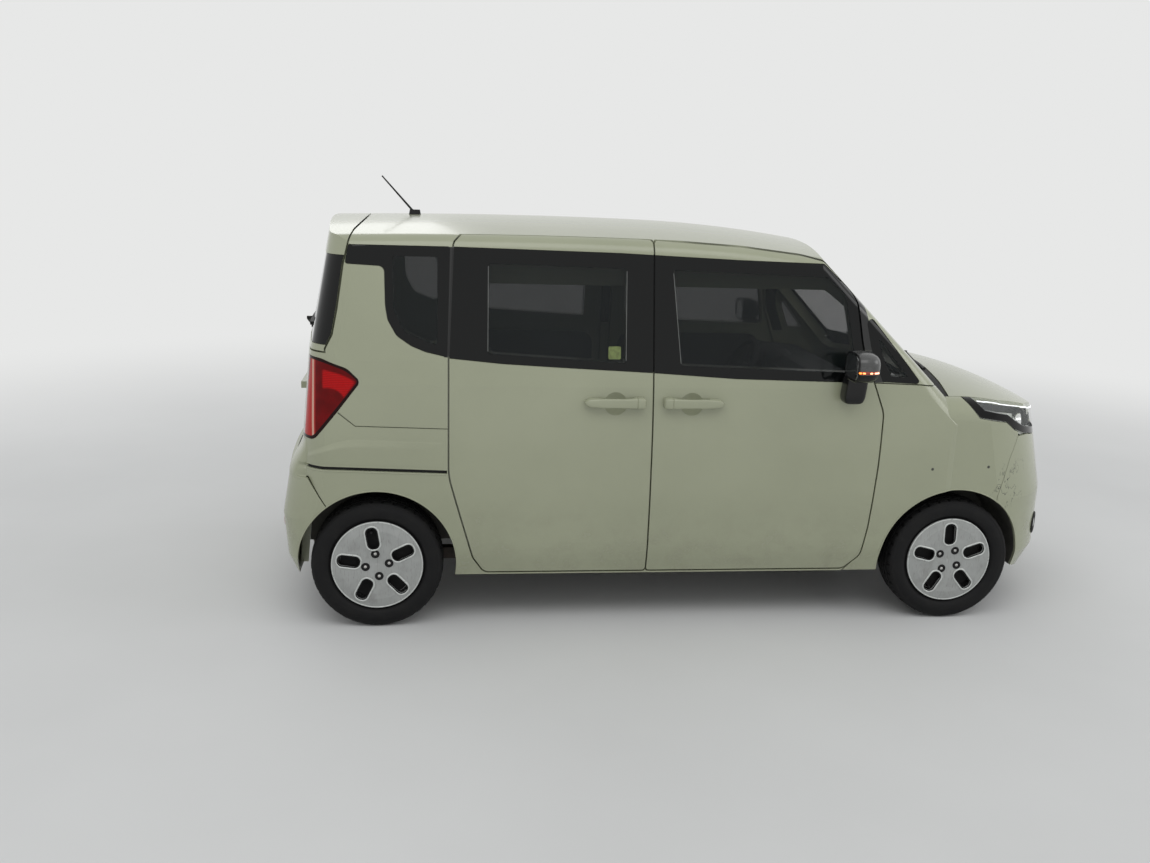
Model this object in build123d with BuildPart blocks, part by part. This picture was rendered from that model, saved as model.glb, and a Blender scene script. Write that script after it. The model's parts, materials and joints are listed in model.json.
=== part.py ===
from build123d import *
import math
import os

# City car, millimetres, +X forward, +Y to the car's left, +Z up.
# The origin is on the ground, below the middle of the car.

# Overall size
LENGTH = 3595
HALF_WIDTH = 797
ROOF_Z = 1700
FRONT_X = LENGTH / 2
REAR_X = -LENGTH / 2
FRONT_AXLE_X = 1152.5
REAR_AXLE_X = -1367.5
SILL_Z = 226

# Cross section of the body: half width and height, with the blend radius
SECTION = [
    # half width, height, radius
    (752, 226, 60),
    (783, 335, 400),
    (HALF_WIDTH, 560, 1500),
    (HALF_WIDTH, 800, 1500),
    (790, 925, 1500),
    (772, 1090, 1200),
]
ROOF_SIDE_Y = 672
ROOF_SIDE_Z = 1590
CANT_RADIUS = 70
UNDER_Z = -150
OVER_Z = 1900

# Roof sweep
ROOF_APEX_X = -710
ROOF_JOIN_X = -160
ROOF_REAR_RADIUS = 25000
ROOF_FRONT_RADIUS = 5500
ROOF_CROWN_RADIUS = 4000
ROOF_HALF_SPAN = 900

# Cabin plan sections: windscreen at the front, tailgate at the rear
SCREEN_BASE_X = 1159
SCREEN_BASE_Z = 1045
SCREEN_SLOPE = 590 / 565
SCREEN_PLAN_RADIUS = 2200
SCREEN_CORNER_RADIUS = 60
COWL_CORNER_RADIUS = 150
COWL_Z = 900
TAIL_BELT_Z = 1160
TAIL_BELT_X = -1686
TAIL_UPPER_SLOPE = 92 / 480
TAIL_LOWER_SLOPE = 48 / 530
TAIL_PLAN_RADIUS = 4500
TAIL_CORNER_RADIUS = 130
CABIN_TOP_Z = 1760
CORNER_EASE = 0.5

# Nose plan and side shape
NOSE_FRONT_RADIUS = 1150
NOSE_CORNER_RADIUS = 450
NOSE_BACK_X = -900
NOSE_BOTTOM_Z = 165
NOSE_CHIN_Z = 300
NOSE_CREST_Z = 560
NOSE_TOP_Z = 1200
NOSE_CHIN_SHIFT = 78
NOSE_TOP_SHIFT = 150

# Bonnet surface
BONNET_APEX_X = 1115
BONNET_APEX_Z = 1066
BONNET_RADIUS = 1200
BONNET_CROWN_RADIUS = 4500
BONNET_SHOULDER_RADIUS = 95
BONNET_SHOULDER_Y = 788

# Rear bumper plan
TAIL_BUMPER_RADIUS = 6000
TAIL_BUMPER_CORNER = 170

# Skin thicknesses and the layers of the doors
SKIN = 14
DOOR_FLANGE = 20
DOOR_DEPTH = 60
FLANGE_SEAT = 26
ROOF_DEPTH = 40
DOOR_GAP = 7
SEAM = 5
DOOR_STEP = 32
DOOR_TOP_Y = 618
LIGHT_NEAR_Y = 500
FENDER_NEAR_Y = 640
FRAME_STEP = 20
GLASS = 5
GLASS_INSET = 5
CLEAR = 0.3
BUMPER_SEAM = 2

# Wheels
TYRE_RADIUS = 277
WHEEL_Z = 277
TRACK_HALF = 694
ARCH_RADIUS = 330
FRONT_ARCH_DEPTH = 340
REAR_ARCH_DEPTH = 215

# Shut lines in the side view, counter-clockwise
FRONT_DOOR = [
    (-220, 236),
    (668, 236),
    (735, 303),
    (754, 440),
    (771, 714),
    (776, 950),
    (729, 1076),
    (676, 1214),
    (645, 1440),
    (503, 1578),
    (405, 1600),
    (147, 1628),
    (-231, 1648),
]
FRONT_DOOR_RADII = [15, 45, 60, 200, 400, 120, 80, 400, 120, 60, 300, 500, 20]
REAR_DOOR = [
    (-920, 236),
    (-220, 236),
    (-231, 1648),
    (-349, 1654),
    (-1020, 1656),
    (-1057, 1620),
    (-1074, 1159),
    (-1072, 673),
    (-1020, 489),
    (-968, 309),
]
REAR_DOOR_RADII = [40, 15, 20, 300, 35, 35, 300, 300, 300, 60]

# Dark window band of each door and of the quarter panel
FRONT_BAND = [
    (-227, 1109),
    (124, 1088),
    (584, 1079),
    (729, 1079),
    (676, 1214),
    (645, 1440),
    (502, 1568),
    (126, 1576),
    (-230, 1588),
]
FRONT_BAND_RADII = [5, 200, 200, 10, 300, 100, 30, 200, 5]
REAR_BAND = [
    (-1074, 1159),
    (-854, 1139),
    (-623, 1127),
    (-227, 1109),
    (-230, 1588),
    (-369, 1593),
    (-1069, 1603),
]
REAR_BAND_RADII = [5, 300, 300, 5, 5, 300, 5]
QUARTER_BAND = [
    (-1078, 1163),
    (-1069, 1603),
    (-1478, 1603),
    (-1490, 1526),
    (-1334, 1519),
    (-1330, 1366),
    (-1320, 1309),
    (-1284, 1246),
    (-1225, 1206),
    (-1167, 1183),
]
QUARTER_RADII = [10, 10, 10, 10, 25, 200, 60, 60, 80, 100]
CORNER_BAND = [(765, 1082), (941, 1074), (676, 1398), (712, 1214)]
CORNER_RADII = [8, 12, 20, 200]

# Rubber buffers that each closed door rests on
BUFFER_LENGTH = 20
BUFFERS = [
    # x range, y range, height of the lower and the upper one
    ((-216, -205), (700, 900), 560, 1000),
    ((-1066, -1054), (700, 900), 800, 1010),
    ((-1850, -1500), (594, 606), 740, 1060),
]

# Daylight openings through the frames
FRONT_LIGHT = [(-112, 1140), (655, 1118), (640, 1200), (600, 1440), (520, 1512), (-150, 1528)]
FRONT_LIGHT_RADII = [15, 15, 200, 60, 60, 15]
REAR_LIGHT = [(-915, 1180), (-344, 1148), (-344, 1530), (-915, 1538)]
REAR_LIGHT_RADII = [30, 15, 15, 20]
QUARTER_LIGHT = [(-1120, 1210), (-1120, 1560), (-1300, 1560), (-1296, 1350), (-1250, 1260)]
QUARTER_LIGHT_RADII = [25, 20, 20, 100, 80]
CORNER_LIGHT = [(800, 1105), (880, 1102), (740, 1272), (752, 1214)]
CORNER_LIGHT_RADII = [6, 8, 8, 100]
BAND_DEPTH = 10
BAND_CLEAR = 1.5

# Plan outlines of the bonnet and cowl, left half from the rear middle forward
BONNET_HALF = [(1197, 0), (1183, 250), (1142, 500), (1098, 705), (1330, 698)]
BONNET_NOSE = [(1500, 612), (1618, 450), (1690, 250), (1712, 0)]
COWL_HALF = [(1120, 0), (1105, 250), (1066, 500), (1018, 685), (1062, 712)]

# Windscreen outline on its own slope: half width and height up the slope
SCREEN_FOOT = (692, 52)
SCREEN_BOTTOM = 38
SCREEN_HEAD = (588, 770)
SCREEN_TOP = 795
SCREEN_ROUND = 70

# Tailgate in the side view, the hinge at its front edge
TAILGATE = [
    (-1416, 1740),
    (-1430, 1688),
    (-1462, 1654),
    (-1474, 1622),
    (-1497, 1522),
    (-1521, 1346),
    (-1540, 1246),
    (-1569, 1190),
    (-1569, 640),
    (-1850, 640),
    (-1850, 1740),
]
TAILGATE_HALF = 612
TAILGATE_SHOULDER_Z = 1176
TAILGATE_BOTTOM_Z = 668
TAIL_GLASS_LOW_Z = 1204
TAIL_GLASS_HIGH_Z = 1560
TAIL_LIGHT_HALF = 560
PLATE_BAY = (215, 745, 925)
GRIP_BAR = (-1728, -1680)
REAR_PIVOT_Z = 1182
REAR_BLADE_Z = 1236
REAR_BLADE_Y = -175
REAR_BLADE = 350

# Door handles
HANDLE_Z = 990
HANDLE_LENGTH = 236
HANDLE_HEIGHT = 34
HANDLE_OUT = 34
HANDLE_GRIP = 150
CUP_RADIUS = 90
CUP_OUT = 62

# Tail lamp in the side view
TAIL_LAMP = [
    (-1850, 822),
    (-1616, 823),
    (-1522, 939),
    (-1427, 1063),
    (-1481, 1114),
    (-1585, 1150),
    (-1850, 1163),
]
TAIL_LAMP_RADII = [1, 40, 80, 22, 60, 80, 1]

FENDER = [
    (672, 228),
    (1335, 228),
    (1335, 575),
    (1384, 743),
    (1428, 838),
    (1428, 1100),
    (1084, 1100),
    (1060, 1052),
    (941, 1069),
    (733, 1076),
    (776, 950),
    (771, 714),
    (754, 440),
    (735, 303),
]
FRONT_BUMPER = [
    (1335, 226),
    (1480, 226),
    (1640, NOSE_BOTTOM_Z),
    (1850, NOSE_BOTTOM_Z),
    (1850, 838),
    (1428, 838),
    (1384, 743),
    (1335, 575),
]
HEAD_LAMP = [
    (1139, 1029),
    (1215, 933),
    (1351, 910),
    (1406, 870),
    (1461, 849),
    (1640, 806),
    (1850, 806),
    (1850, 1120),
    (1170, 1120),
]
HEAD_LAMP_INNER_Y = 405
HEAD_LAMP_DEPTH = 50
LAMP_FLANGE = 13
PLATE_HALF = 262
PLATE_Z = 485
PLATE_FACE_X = 1796
PLATE_HOLE_Y = 110
PLATE_HOLE = 3.5
REAR_BUMPER = [
    (-1850, 226),
    (-1560, 226),
    (-1560, 520),
    (-1582, 555),
    (-1645, 660),
    (-1850, 660),
]
TAIL_BUMPER_SECTIONS = [(200, 62), (300, 16), (480, 0), (660, 30)]
UPPER_GRILLE = (385, 838 - BUMPER_SEAM + CLEAR, 870)
LOWER_GRILLE = (470, 262, 400)
GRILLE_BARS = 4

# Wheel section, radius against distance outward of the wheel's middle
WHEEL_PROFILE = [
    (0, 73),
    (70, 76),
    (150, 81),
    (188, 76),
    (193, 70),
    (190, 64),
    (178, 62),
    (178, -66),
    (190, -72),
    (190, -78),
    (168, -78),
    (164, -66),
    (158, 50),
    (140, 68),
    (66, 64),
    (66, 22),
    (28, 22),
    (28, 40),
    (0, 40),
]
TYRE_PROFILE = [
    (178.3, 60),
    (196, 62),
    (206, 76),
    (236, 82.5),
    (262, 79),
    (274, 66),
    (TYRE_RADIUS, 40),
    (TYRE_RADIUS, -40),
    (274, -66),
    (262, -79),
    (236, -82.5),
    (206, -80),
    (192.5, -77),
    (192.5, -71),
    (178.3, -64),
]
HUB_FACE = 22
HUB_RADIUS = 62
SPIGOT_RADIUS = 27.7
SPIGOT_LENGTH = 16
KINGPIN_Y = 620
BALL_PIN_RADIUS = 10
BALL_PIN_LENGTH = 24
SLOTS = 5
SLOT_LENGTH = 92
SLOT_WIDTH = 45
SLOT_ROUND = 19
SLOT_RADIUS = 118
NUT_CIRCLE = 50
NUT_HOLE = 15
NUTS = 4
WHEEL_TURN = {
    ("front", "left"): 30,
    ("front", "right"): 147,
    ("rear", "left"): 70,
    ("rear", "right"): 9,
}

# Underbody
FLOOR_Z = 248
FLOOR_THICK = 10
FLOOR_FRONT_X = 870
FLOOR_BACK_X = -960
LOAD_FLOOR_Z = 430
BULKHEAD_THICK = 10
LINER_THICK = 6
FRONT_WELL_Y = 455
REAR_WELL_Y = 590
RAIL_Y = (380, 440)
RAIL_Z = (300, 380)
BEAM_TOP_Z = 540
LOCK_X = 1640
LOCK_HALF = 25
STRUT_Y = 556
STRUT_RADIUS = 24
ARM_Z = (148, 168)
ENGINE = (1230, 1570, -300, 330, 250, 800)

# Cabin
SEAT_Y = 345
SEAT_BACK_X = -90
SEAT_LENGTH = 500
SEAT_WIDTH = 480
SEAT_Z = 395
SEAT_THICK = 125

# Rear axle
BEAM_AHEAD = 190
BEAM_Z = 262
BEAM_RADIUS = 32
ARM_Y = 585
REAR_SEAT_Z = 470

# Cabin outlines in the side view
SEAT_BACK = [(-70, 345), (70, 345), (-30, 1010), (-140, 1000)]
HEAD_REST = [(-145, 990), (-40, 1000), (-60, 1190), (-150, 1180)]
REAR_BACK = [(-890, 420), (-760, 420), (-850, 1010), (-950, 1000)]
DASH = [
    (FLOOR_FRONT_X - BULKHEAD_THICK, 640),
    (FLOOR_FRONT_X - BULKHEAD_THICK, 955),
    (840, 1010),
    (620, 1030),
    (570, 980),
    (600, 760),
    (700, 640),
]
STEER_CENTRE = (430, 345, 920)
STEER_RADIUS = 178
STEER_REACH = 190
WIPER_Z = 1088
WIPERS = [
    # pivot x, pivot y, foot height, middle of the blade, half its length
    (1098, 560, 1025, 330, 270),
    (1165, -40, 1060, -280, 230),
]
MIRROR_X = 620
MIRROR_Y = 905
MIRROR_Z = 1172
QUARTER_LINE = [
    (-1519, 936),
    (-1450, 881),
    (-1070, 871),
    (-1070, 875),
    (-1448, 885),
    (-1516, 941),
]
RAIL_SLOT = [(-1670, 704), (-1078, 684), (-1078, 698), (-1670, 718)]

AXLES = [("front", FRONT_AXLE_X), ("rear", REAR_AXLE_X)]
SIDES = [("left", 1), ("right", -1)]

os.makedirs("parts", exist_ok=True)


def arc_plan(front_x, rear_x, half, front_radius, front_corner, rear_radius, rear_corner):
    """Left half of a plan outline: arcs at the front and rear, a straight side."""
    front_centre = front_x - front_radius
    front_reach = front_radius - front_corner
    front_mid = front_centre + math.sqrt(front_reach**2 - (half - front_corner) ** 2)
    front_join = math.atan2(half - front_corner, front_mid - front_centre)
    rear_centre = rear_x + rear_radius
    rear_reach = rear_radius - rear_corner
    rear_mid = rear_centre - math.sqrt(rear_reach**2 - (half - rear_corner) ** 2)
    rear_join = math.atan2(half - rear_corner, rear_centre - rear_mid)

    def front_point(angle):
        return (
            front_centre + front_radius * math.cos(angle),
            front_radius * math.sin(angle),
        )

    def rear_point(angle):
        return (rear_centre - rear_radius * math.cos(angle), rear_radius * math.sin(angle))

    front_half = (front_join + math.pi / 2) / 2
    rear_half = (rear_join + math.pi / 2) / 2
    front_bend = (
        front_mid + front_corner * math.cos(front_half),
        half - front_corner + front_corner * math.sin(front_half),
    )
    rear_bend = (
        rear_mid - rear_corner * math.cos(rear_half),
        half - rear_corner + rear_corner * math.sin(rear_half),
    )
    with BuildLine() as outline:
        ThreePointArc((front_x, 0), front_point(front_join / 2), front_point(front_join))
        ThreePointArc(front_point(front_join), front_bend, (front_mid, half))
        Line((front_mid, half), (rear_mid, half))
        ThreePointArc((rear_mid, half), rear_bend, rear_point(rear_join))
        ThreePointArc(rear_point(rear_join), rear_point(rear_join / 2), (rear_x, 0))
        Line((rear_x, 0), (front_x, 0))
    return outline.line


def moved_inward(points, inset):
    """Corners of an open outline after each of its lines moves to its left by inset."""
    lines = []
    for start, end in zip(points, points[1:]):
        length = math.hypot(end[0] - start[0], end[1] - start[1])
        along = ((end[0] - start[0]) / length, (end[1] - start[1]) / length)
        lines.append((start[0] - along[1] * inset, start[1] + along[0] * inset, along))
    moved = [(lines[0][0], lines[0][1])]
    for (ax, ay, a), (bx, by, b) in zip(lines, lines[1:]):
        cross = a[0] * b[1] - a[1] * b[0]
        reach = ((bx - ax) * b[1] - (by - ay) * b[0]) / cross
        moved.append((ax + a[0] * reach, ay + a[1] * reach))
    end = points[-1]
    along = lines[-1][2]
    moved.append((end[0] - along[1] * inset, end[1] + along[0] * inset))
    return moved


def section_half(inset):
    """Corners of the body's left side in the front view, with the blend radii."""
    slope = (ROOF_SIDE_Y - SECTION[-1][0]) / (ROOF_SIDE_Z - SECTION[-1][1])
    top_y = ROOF_SIDE_Y + slope * (OVER_Z - ROOF_SIDE_Z)
    half = [(SECTION[0][0], UNDER_Z)]
    half += [(y, z) for y, z, radius in SECTION]
    half += [(top_y, OVER_Z)]
    radii = [max(radius - inset, 1) for y, z, radius in SECTION]
    return moved_inward(half, inset), radii


def section_prism(inset):
    """The left half of the body's front view, run along its length and moved inward."""
    half, radii = section_half(inset)
    with BuildPart() as prism:
        with BuildSketch(Plane.YZ.offset(REAR_X - 100)):
            with BuildLine():
                side = FilletPolyline(*half, radius=radii)
                Polyline(side @ 1, (0, half[-1][1]), (0, half[0][1]), side @ 0)
            make_face()
        extrude(amount=LENGTH + 200)
    return prism.part


def roof_slab(inset):
    """Everything below the crowned roof surface."""
    join = math.asin((ROOF_JOIN_X - ROOF_APEX_X) / ROOF_REAR_RADIUS)
    rear_centre = Vector(ROOF_APEX_X, 0, ROOF_Z - ROOF_REAR_RADIUS)
    outward = Vector(math.sin(join), 0, math.cos(join))
    seam = rear_centre + outward * ROOF_REAR_RADIUS
    front_centre = seam - outward * ROOF_FRONT_RADIUS
    forward = Vector(math.cos(join), 0, -math.sin(join))
    plane = Plane(origin=seam, x_dir=(0, 1, 0), z_dir=forward)
    sag = ROOF_CROWN_RADIUS - math.sqrt(ROOF_CROWN_RADIUS**2 - ROOF_HALF_SPAN**2)
    mid_y = ROOF_HALF_SPAN / 2
    mid_sag = ROOF_CROWN_RADIUS - math.sqrt(ROOF_CROWN_RADIUS**2 - mid_y**2)
    with BuildPart() as slab:
        for centre, direction, angle in [(rear_centre, -1, 6), (front_centre, 1, 40)]:
            with BuildSketch(plane) as crown:
                with BuildLine():
                    ThreePointArc(
                        (0, -inset),
                        (mid_y, -mid_sag - inset),
                        (ROOF_HALF_SPAN, -sag - inset),
                    )
                    Polyline(
                        (ROOF_HALF_SPAN, -sag - inset),
                        (ROOF_HALF_SPAN, -OVER_Z),
                        (0, -OVER_Z),
                        (0, -inset),
                    )
                make_face()
            revolve(
                crown.sketch,
                axis=Axis(centre, (0, direction, 0)),
                revolution_arc=angle,
                mode=Mode.ADD,
            )
    return slab.part


def cabin_plan(z, inset):
    """Plan outline of the cabin at one height."""
    screen_x = SCREEN_BASE_X - (max(z, COWL_Z) - SCREEN_BASE_Z) * SCREEN_SLOPE
    screen_inset = inset * math.hypot(1, SCREEN_SLOPE)
    if z >= TAIL_BELT_Z:
        tail_x = TAIL_BELT_X + (z - TAIL_BELT_Z) * TAIL_UPPER_SLOPE
    else:
        tail_x = TAIL_BELT_X + (z - TAIL_BELT_Z) * TAIL_LOWER_SLOPE
    side_slope = (SECTION[-1][0] - ROOF_SIDE_Y) / (ROOF_SIDE_Z - SECTION[-1][1])
    half = min(SECTION[-1][0] - (z - SECTION[-1][1]) * side_slope, HALF_WIDTH + 3)
    return arc_plan(
        screen_x - screen_inset,
        tail_x + inset,
        half - inset + CORNER_EASE,
        SCREEN_PLAN_RADIUS,
        SCREEN_CORNER_RADIUS if z > COWL_Z else COWL_CORNER_RADIUS,
        TAIL_PLAN_RADIUS,
        TAIL_CORNER_RADIUS - inset,
    )


def cabin_column(inset):
    """Ruled column between the windscreen and the tailgate."""
    with BuildPart() as column:
        for z in [UNDER_Z, COWL_Z, TAIL_BELT_Z, CABIN_TOP_Z]:
            with BuildSketch(Plane.XY.offset(z)):
                with BuildLine():
                    add(cabin_plan(z, inset))
                make_face()
        loft(ruled=True)
    return column.part


def nose_column(inset):
    """Ruled column behind the rounded nose."""
    with BuildPart() as column:
        for z, shift in [
            (NOSE_BOTTOM_Z - 60, NOSE_CHIN_SHIFT * 1.4),
            (NOSE_CHIN_Z, 0),
            (NOSE_CREST_Z, 0),
            (NOSE_TOP_Z, NOSE_TOP_SHIFT),
        ]:
            with BuildSketch(Plane.XY.offset(z)):
                with BuildLine():
                    add(
                        arc_plan(
                            FRONT_X - shift - inset,
                            NOSE_BACK_X - shift,
                            HALF_WIDTH - inset,
                            NOSE_FRONT_RADIUS - inset,
                            NOSE_CORNER_RADIUS - inset,
                            NOSE_FRONT_RADIUS,
                            NOSE_CORNER_RADIUS,
                        )
                    )
                make_face()
        loft(ruled=True)
    return column.part


def bonnet_drum(inset):
    """Everything below the crowned bonnet surface, with rounded shoulders."""
    half = BONNET_SHOULDER_Y - inset
    corner = BONNET_SHOULDER_RADIUS - inset
    crown = BONNET_CROWN_RADIUS - inset
    reach = crown - corner
    join = math.asin((half - corner) / reach)
    mid_z = -crown + reach * math.cos(join)
    bend = (join + math.pi / 2) / 2
    tip = (crown * math.sin(join), -crown + crown * math.cos(join))
    rise = (crown * math.sin(join / 2), -crown + crown * math.cos(join / 2))
    bend_point = (
        half - corner + corner * math.sin(bend),
        mid_z + corner * math.cos(bend),
    )
    centre = Vector(BONNET_APEX_X, 0, BONNET_APEX_Z - BONNET_RADIUS)
    base = Plane(
        origin=(BONNET_APEX_X, 0, BONNET_APEX_Z - inset), x_dir=(0, 1, 0), z_dir=(1, 0, 0)
    )
    with BuildPart() as drum:
        with BuildSketch(base) as profile:
            with BuildLine():
                ThreePointArc((0, 0), rise, tip)
                ThreePointArc(tip, bend_point, (half, mid_z))
                Polyline(
                    (half, mid_z),
                    (half, inset - BONNET_RADIUS + 20),
                    (0, inset - BONNET_RADIUS + 20),
                    (0, 0),
                )
            make_face()
        revolve(profile.sketch, axis=Axis(centre, (0, 1, 0)), revolution_arc=88, mode=Mode.ADD)
        revolve(profile.sketch, axis=Axis(centre, (0, -1, 0)), revolution_arc=30, mode=Mode.ADD)
    return drum.part


def body_form(inset, roof_inset=None):
    """The whole outer form of the body, moved inward by inset."""
    roof_inset = inset if roof_inset is None else roof_inset
    with BuildPart() as sides:
        add(section_prism(inset))
        add(roof_slab(roof_inset), mode=Mode.INTERSECT)
        rails = [
            edge
            for edge in sides.edges()
            if abs(edge.center().Y) > 550 and edge.center().Z > 1250 and edge.length > 500
            and abs(edge.tangent_at(0.5).X) > 0.9
        ]
        fillet(rails, radius=max(CANT_RADIUS - roof_inset, 20))
    with BuildPart() as front:
        add(nose_column(inset))
        add(bonnet_drum(inset), mode=Mode.INTERSECT)
    with BuildPart() as form:
        add(cabin_column(inset))
        add(front.part)
        add(sides.part, mode=Mode.INTERSECT)
    return form.part



def loop_inset(points, inset):
    """A closed counter-clockwise outline moved inward by inset."""
    around = [points[-1]] + list(points) + [points[0]]
    return moved_inward(around, inset)[1:-1]


def side_region(points, radii, inset=0, near=DOOR_TOP_Y, far=900):
    """A closed outline of the side view, run across the car's left side."""
    loop = loop_inset(points, inset)
    soft = [max(radius - inset, 2) for radius in radii]
    with BuildPart() as region:
        with BuildSketch(Plane.XZ.offset(-near - inset)):
            with BuildLine():
                FilletPolyline(*loop, radius=soft, close=True)
            make_face()
        extrude(amount=near + inset - far)
    return region.part



def arch_cut(axle_x, radius, near):
    """Both wheel openings of one axle as one pair of cylinders."""
    with BuildPart() as cut:
        for name, side in SIDES:
            with BuildSketch(Plane.XZ.offset(-side * near)):
                with Locations((axle_x, WHEEL_Z)):
                    Circle(radius)
            extrude(amount=-side * (HALF_WIDTH + 60 - near))
    return cut.part


def block(x0, x1, y0, y1, z0, z1):
    """A box between six planes."""
    with BuildPart() as box:
        with Locations(((x0 + x1) / 2, (y0 + y1) / 2, (z0 + z1) / 2)):
            Box(x1 - x0, y1 - y0, z1 - z0)
    return box.part


def plan_region(points, z0, z1, inset=0):
    """A plan outline, mirrored about the car's middle plane, as an upright prism."""
    around = list(points) + [(x, -y) for x, y in reversed(points) if y]
    loop = loop_inset(list(reversed(around)), inset)
    with BuildPart() as region:
        with BuildSketch(Plane.XY.offset(z0)):
            with BuildLine():
                Polyline(*loop, close=True)
            make_face()
        extrude(amount=z1 - z0)
    return region.part


def mirrored(shape):
    """The same piece on the car's other side."""
    with BuildPart() as other:
        add(shape)
        mirror(about=Plane.XZ, mode=Mode.REPLACE)
    return other.part


def whole(half):
    """A piece on the car's middle plane from its left half."""
    with BuildPart() as both:
        add(half)
        mirror(about=Plane.XZ)
    return both.part


def finish(shape, label):
    """Name a finished piece and write it."""
    shape.label = label
    export_step(shape, "parts/" + label + ".step")


outer = body_form(0)
skin_back = body_form(SKIN)
flange_back = body_form(DOOR_FLANGE)
seat_face = body_form(FLANGE_SEAT)
depth_face = body_form(DOOR_DEPTH, ROOF_DEPTH)
glass_front = body_form(GLASS_INSET - GLASS + 2)
glass_back = body_form(BAND_DEPTH - CLEAR)
glass_bed = body_form(BAND_DEPTH)
floor_edge = body_form(DOOR_DEPTH + CLEAR, ROOF_DEPTH + CLEAR)

front_arches = arch_cut(FRONT_AXLE_X, ARCH_RADIUS, TRACK_HALF - FRONT_ARCH_DEPTH + 100)
rear_arches = arch_cut(REAR_AXLE_X, ARCH_RADIUS, TRACK_HALF - REAR_ARCH_DEPTH + 100)

lamp_back = body_form(FLANGE_SEAT - CLEAR)
lamp_floor = body_form(HEAD_LAMP_DEPTH)
lamp_seat = body_form(SKIN + CLEAR)
buffer_face = body_form(DOOR_FLANGE + CLEAR)


def sharp_region(points, inset=0, near=0, far=900):
    """A closed side outline with plain corners, run across the car's left half."""
    with BuildPart() as region:
        with BuildSketch(Plane.XZ.offset(-near)):
            with BuildLine():
                Polyline(*loop_inset(points, inset), close=True)
            make_face()
        extrude(amount=near - far)
    return region.part


def screen_region(inset, low, high):
    """The windscreen outline, square to the glass, between two heights above it."""
    up = Vector(-SCREEN_SLOPE, 0, 1).normalized()
    plane = Plane(
        origin=(SCREEN_BASE_X, 0, SCREEN_BASE_Z),
        x_dir=(0, 1, 0),
        z_dir=Vector(up.Z, 0, -up.X),
    )
    foot_y, foot_v = SCREEN_FOOT[0] - inset, SCREEN_FOOT[1] + inset
    head_y, head_v = SCREEN_HEAD[0] - inset, SCREEN_HEAD[1] - inset
    with BuildPart() as region:
        with BuildSketch(plane.offset(low)) as outline:
            with BuildLine():
                ThreePointArc((-foot_y, foot_v), (0, SCREEN_BOTTOM + inset), (foot_y, foot_v))
                Line((foot_y, foot_v), (head_y, head_v))
                ThreePointArc((head_y, head_v), (0, SCREEN_TOP - inset), (-head_y, head_v))
                Line((-head_y, head_v), (-foot_y, foot_v))
            make_face()
            fillet(outline.vertices(), radius=SCREEN_ROUND - inset)
        extrude(amount=high - low)
    return region.part


def tailgate_region(inset):
    """The tailgate's place in the side view and the rear view together."""
    rear = [
        (-TAILGATE_HALF, TAILGATE_BOTTOM_Z),
        (TAILGATE_HALF, TAILGATE_BOTTOM_Z),
        (TAILGATE_HALF, TAILGATE_SHOULDER_Z),
        (900, TAILGATE_SHOULDER_Z),
        (900, 1850),
        (-900, 1850),
        (-900, TAILGATE_SHOULDER_Z),
        (-TAILGATE_HALF, TAILGATE_SHOULDER_Z),
    ]
    with BuildPart() as region:
        with BuildSketch(Plane.YZ.offset(REAR_X - 60)):
            with BuildLine():
                Polyline(*loop_inset(rear, inset), close=True)
            make_face()
        extrude(amount=500)
        add(sharp_region(list(reversed(TAILGATE)), inset), mode=Mode.INTERSECT)
    return region.part


def bumper_column(inset):
    """Ruled column in front of the rear bumper's face."""
    with BuildPart() as column:
        for z, shift in TAIL_BUMPER_SECTIONS:
            with BuildSketch(Plane.XY.offset(z)):
                with BuildLine():
                    add(
                        arc_plan(
                            0,
                            REAR_X + shift + inset,
                            HALF_WIDTH - inset,
                            NOSE_FRONT_RADIUS,
                            NOSE_CORNER_RADIUS,
                            TAIL_BUMPER_RADIUS,
                            TAIL_BUMPER_CORNER - inset,
                        )
                    )
                make_face()
        loft(ruled=True)
        add(section_prism(inset), mode=Mode.INTERSECT)
    return column.part


def layer(front, back, region):
    """The part of one form that lies in a region and outside a deeper form."""
    with BuildPart() as piece:
        add(front)
        add(region, mode=Mode.INTERSECT)
        add(back, mode=Mode.SUBTRACT)
    return piece.part


def outside(form, *regions):
    """What a region takes away down to a form, open to the outside."""
    with BuildPart() as tool:
        for region in regions:
            add(region)
        add(form, mode=Mode.SUBTRACT, clean=False)
    return tool.part


hood_way = plan_region(BONNET_HALF + BONNET_NOSE, 700, 1300, -SEAM)
cowl_way = plan_region(COWL_HALF + BONNET_HALF[3::-1], 900, 1300, -BAND_CLEAR)

# Body shell: roof, pillars, quarter panels and sills in one piece
ways = [
    screen_region(FRAME_STEP, -250, 100),
    hood_way,
    tailgate_region(FRAME_STEP),
    rear_arches,
    block(960, 1200, -900, 900, 0, 985),
    arch_cut(FRONT_AXLE_X, ARCH_RADIUS + LINER_THICK + 2 + CLEAR, 300),
    outside(bumper_column(SKIN + 1), sharp_region(REAR_BUMPER, -SEAM)),
]
rebate_regions = [
    sharp_region(FENDER, -SEAM, FENDER_NEAR_Y - SEAM),
    sharp_region(REAR_BUMPER, -SEAM, 0),
    tailgate_region(-DOOR_GAP / 2),
    cowl_way,
]
bed_regions = [screen_region(-BAND_CLEAR, -250, 100)]
for points, radii in [(FRONT_DOOR, FRONT_DOOR_RADII), (REAR_DOOR, REAR_DOOR_RADII)]:
    ways.append(side_region(points, radii, FRAME_STEP))
    rebate_regions.append(side_region(points, radii, -DOOR_GAP / 2))
for points, radii in [
    (QUARTER_LIGHT, QUARTER_LIGHT_RADII),
    (CORNER_LIGHT, CORNER_LIGHT_RADII),
]:
    ways.append(side_region(points, radii, 0, LIGHT_NEAR_Y))
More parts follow.
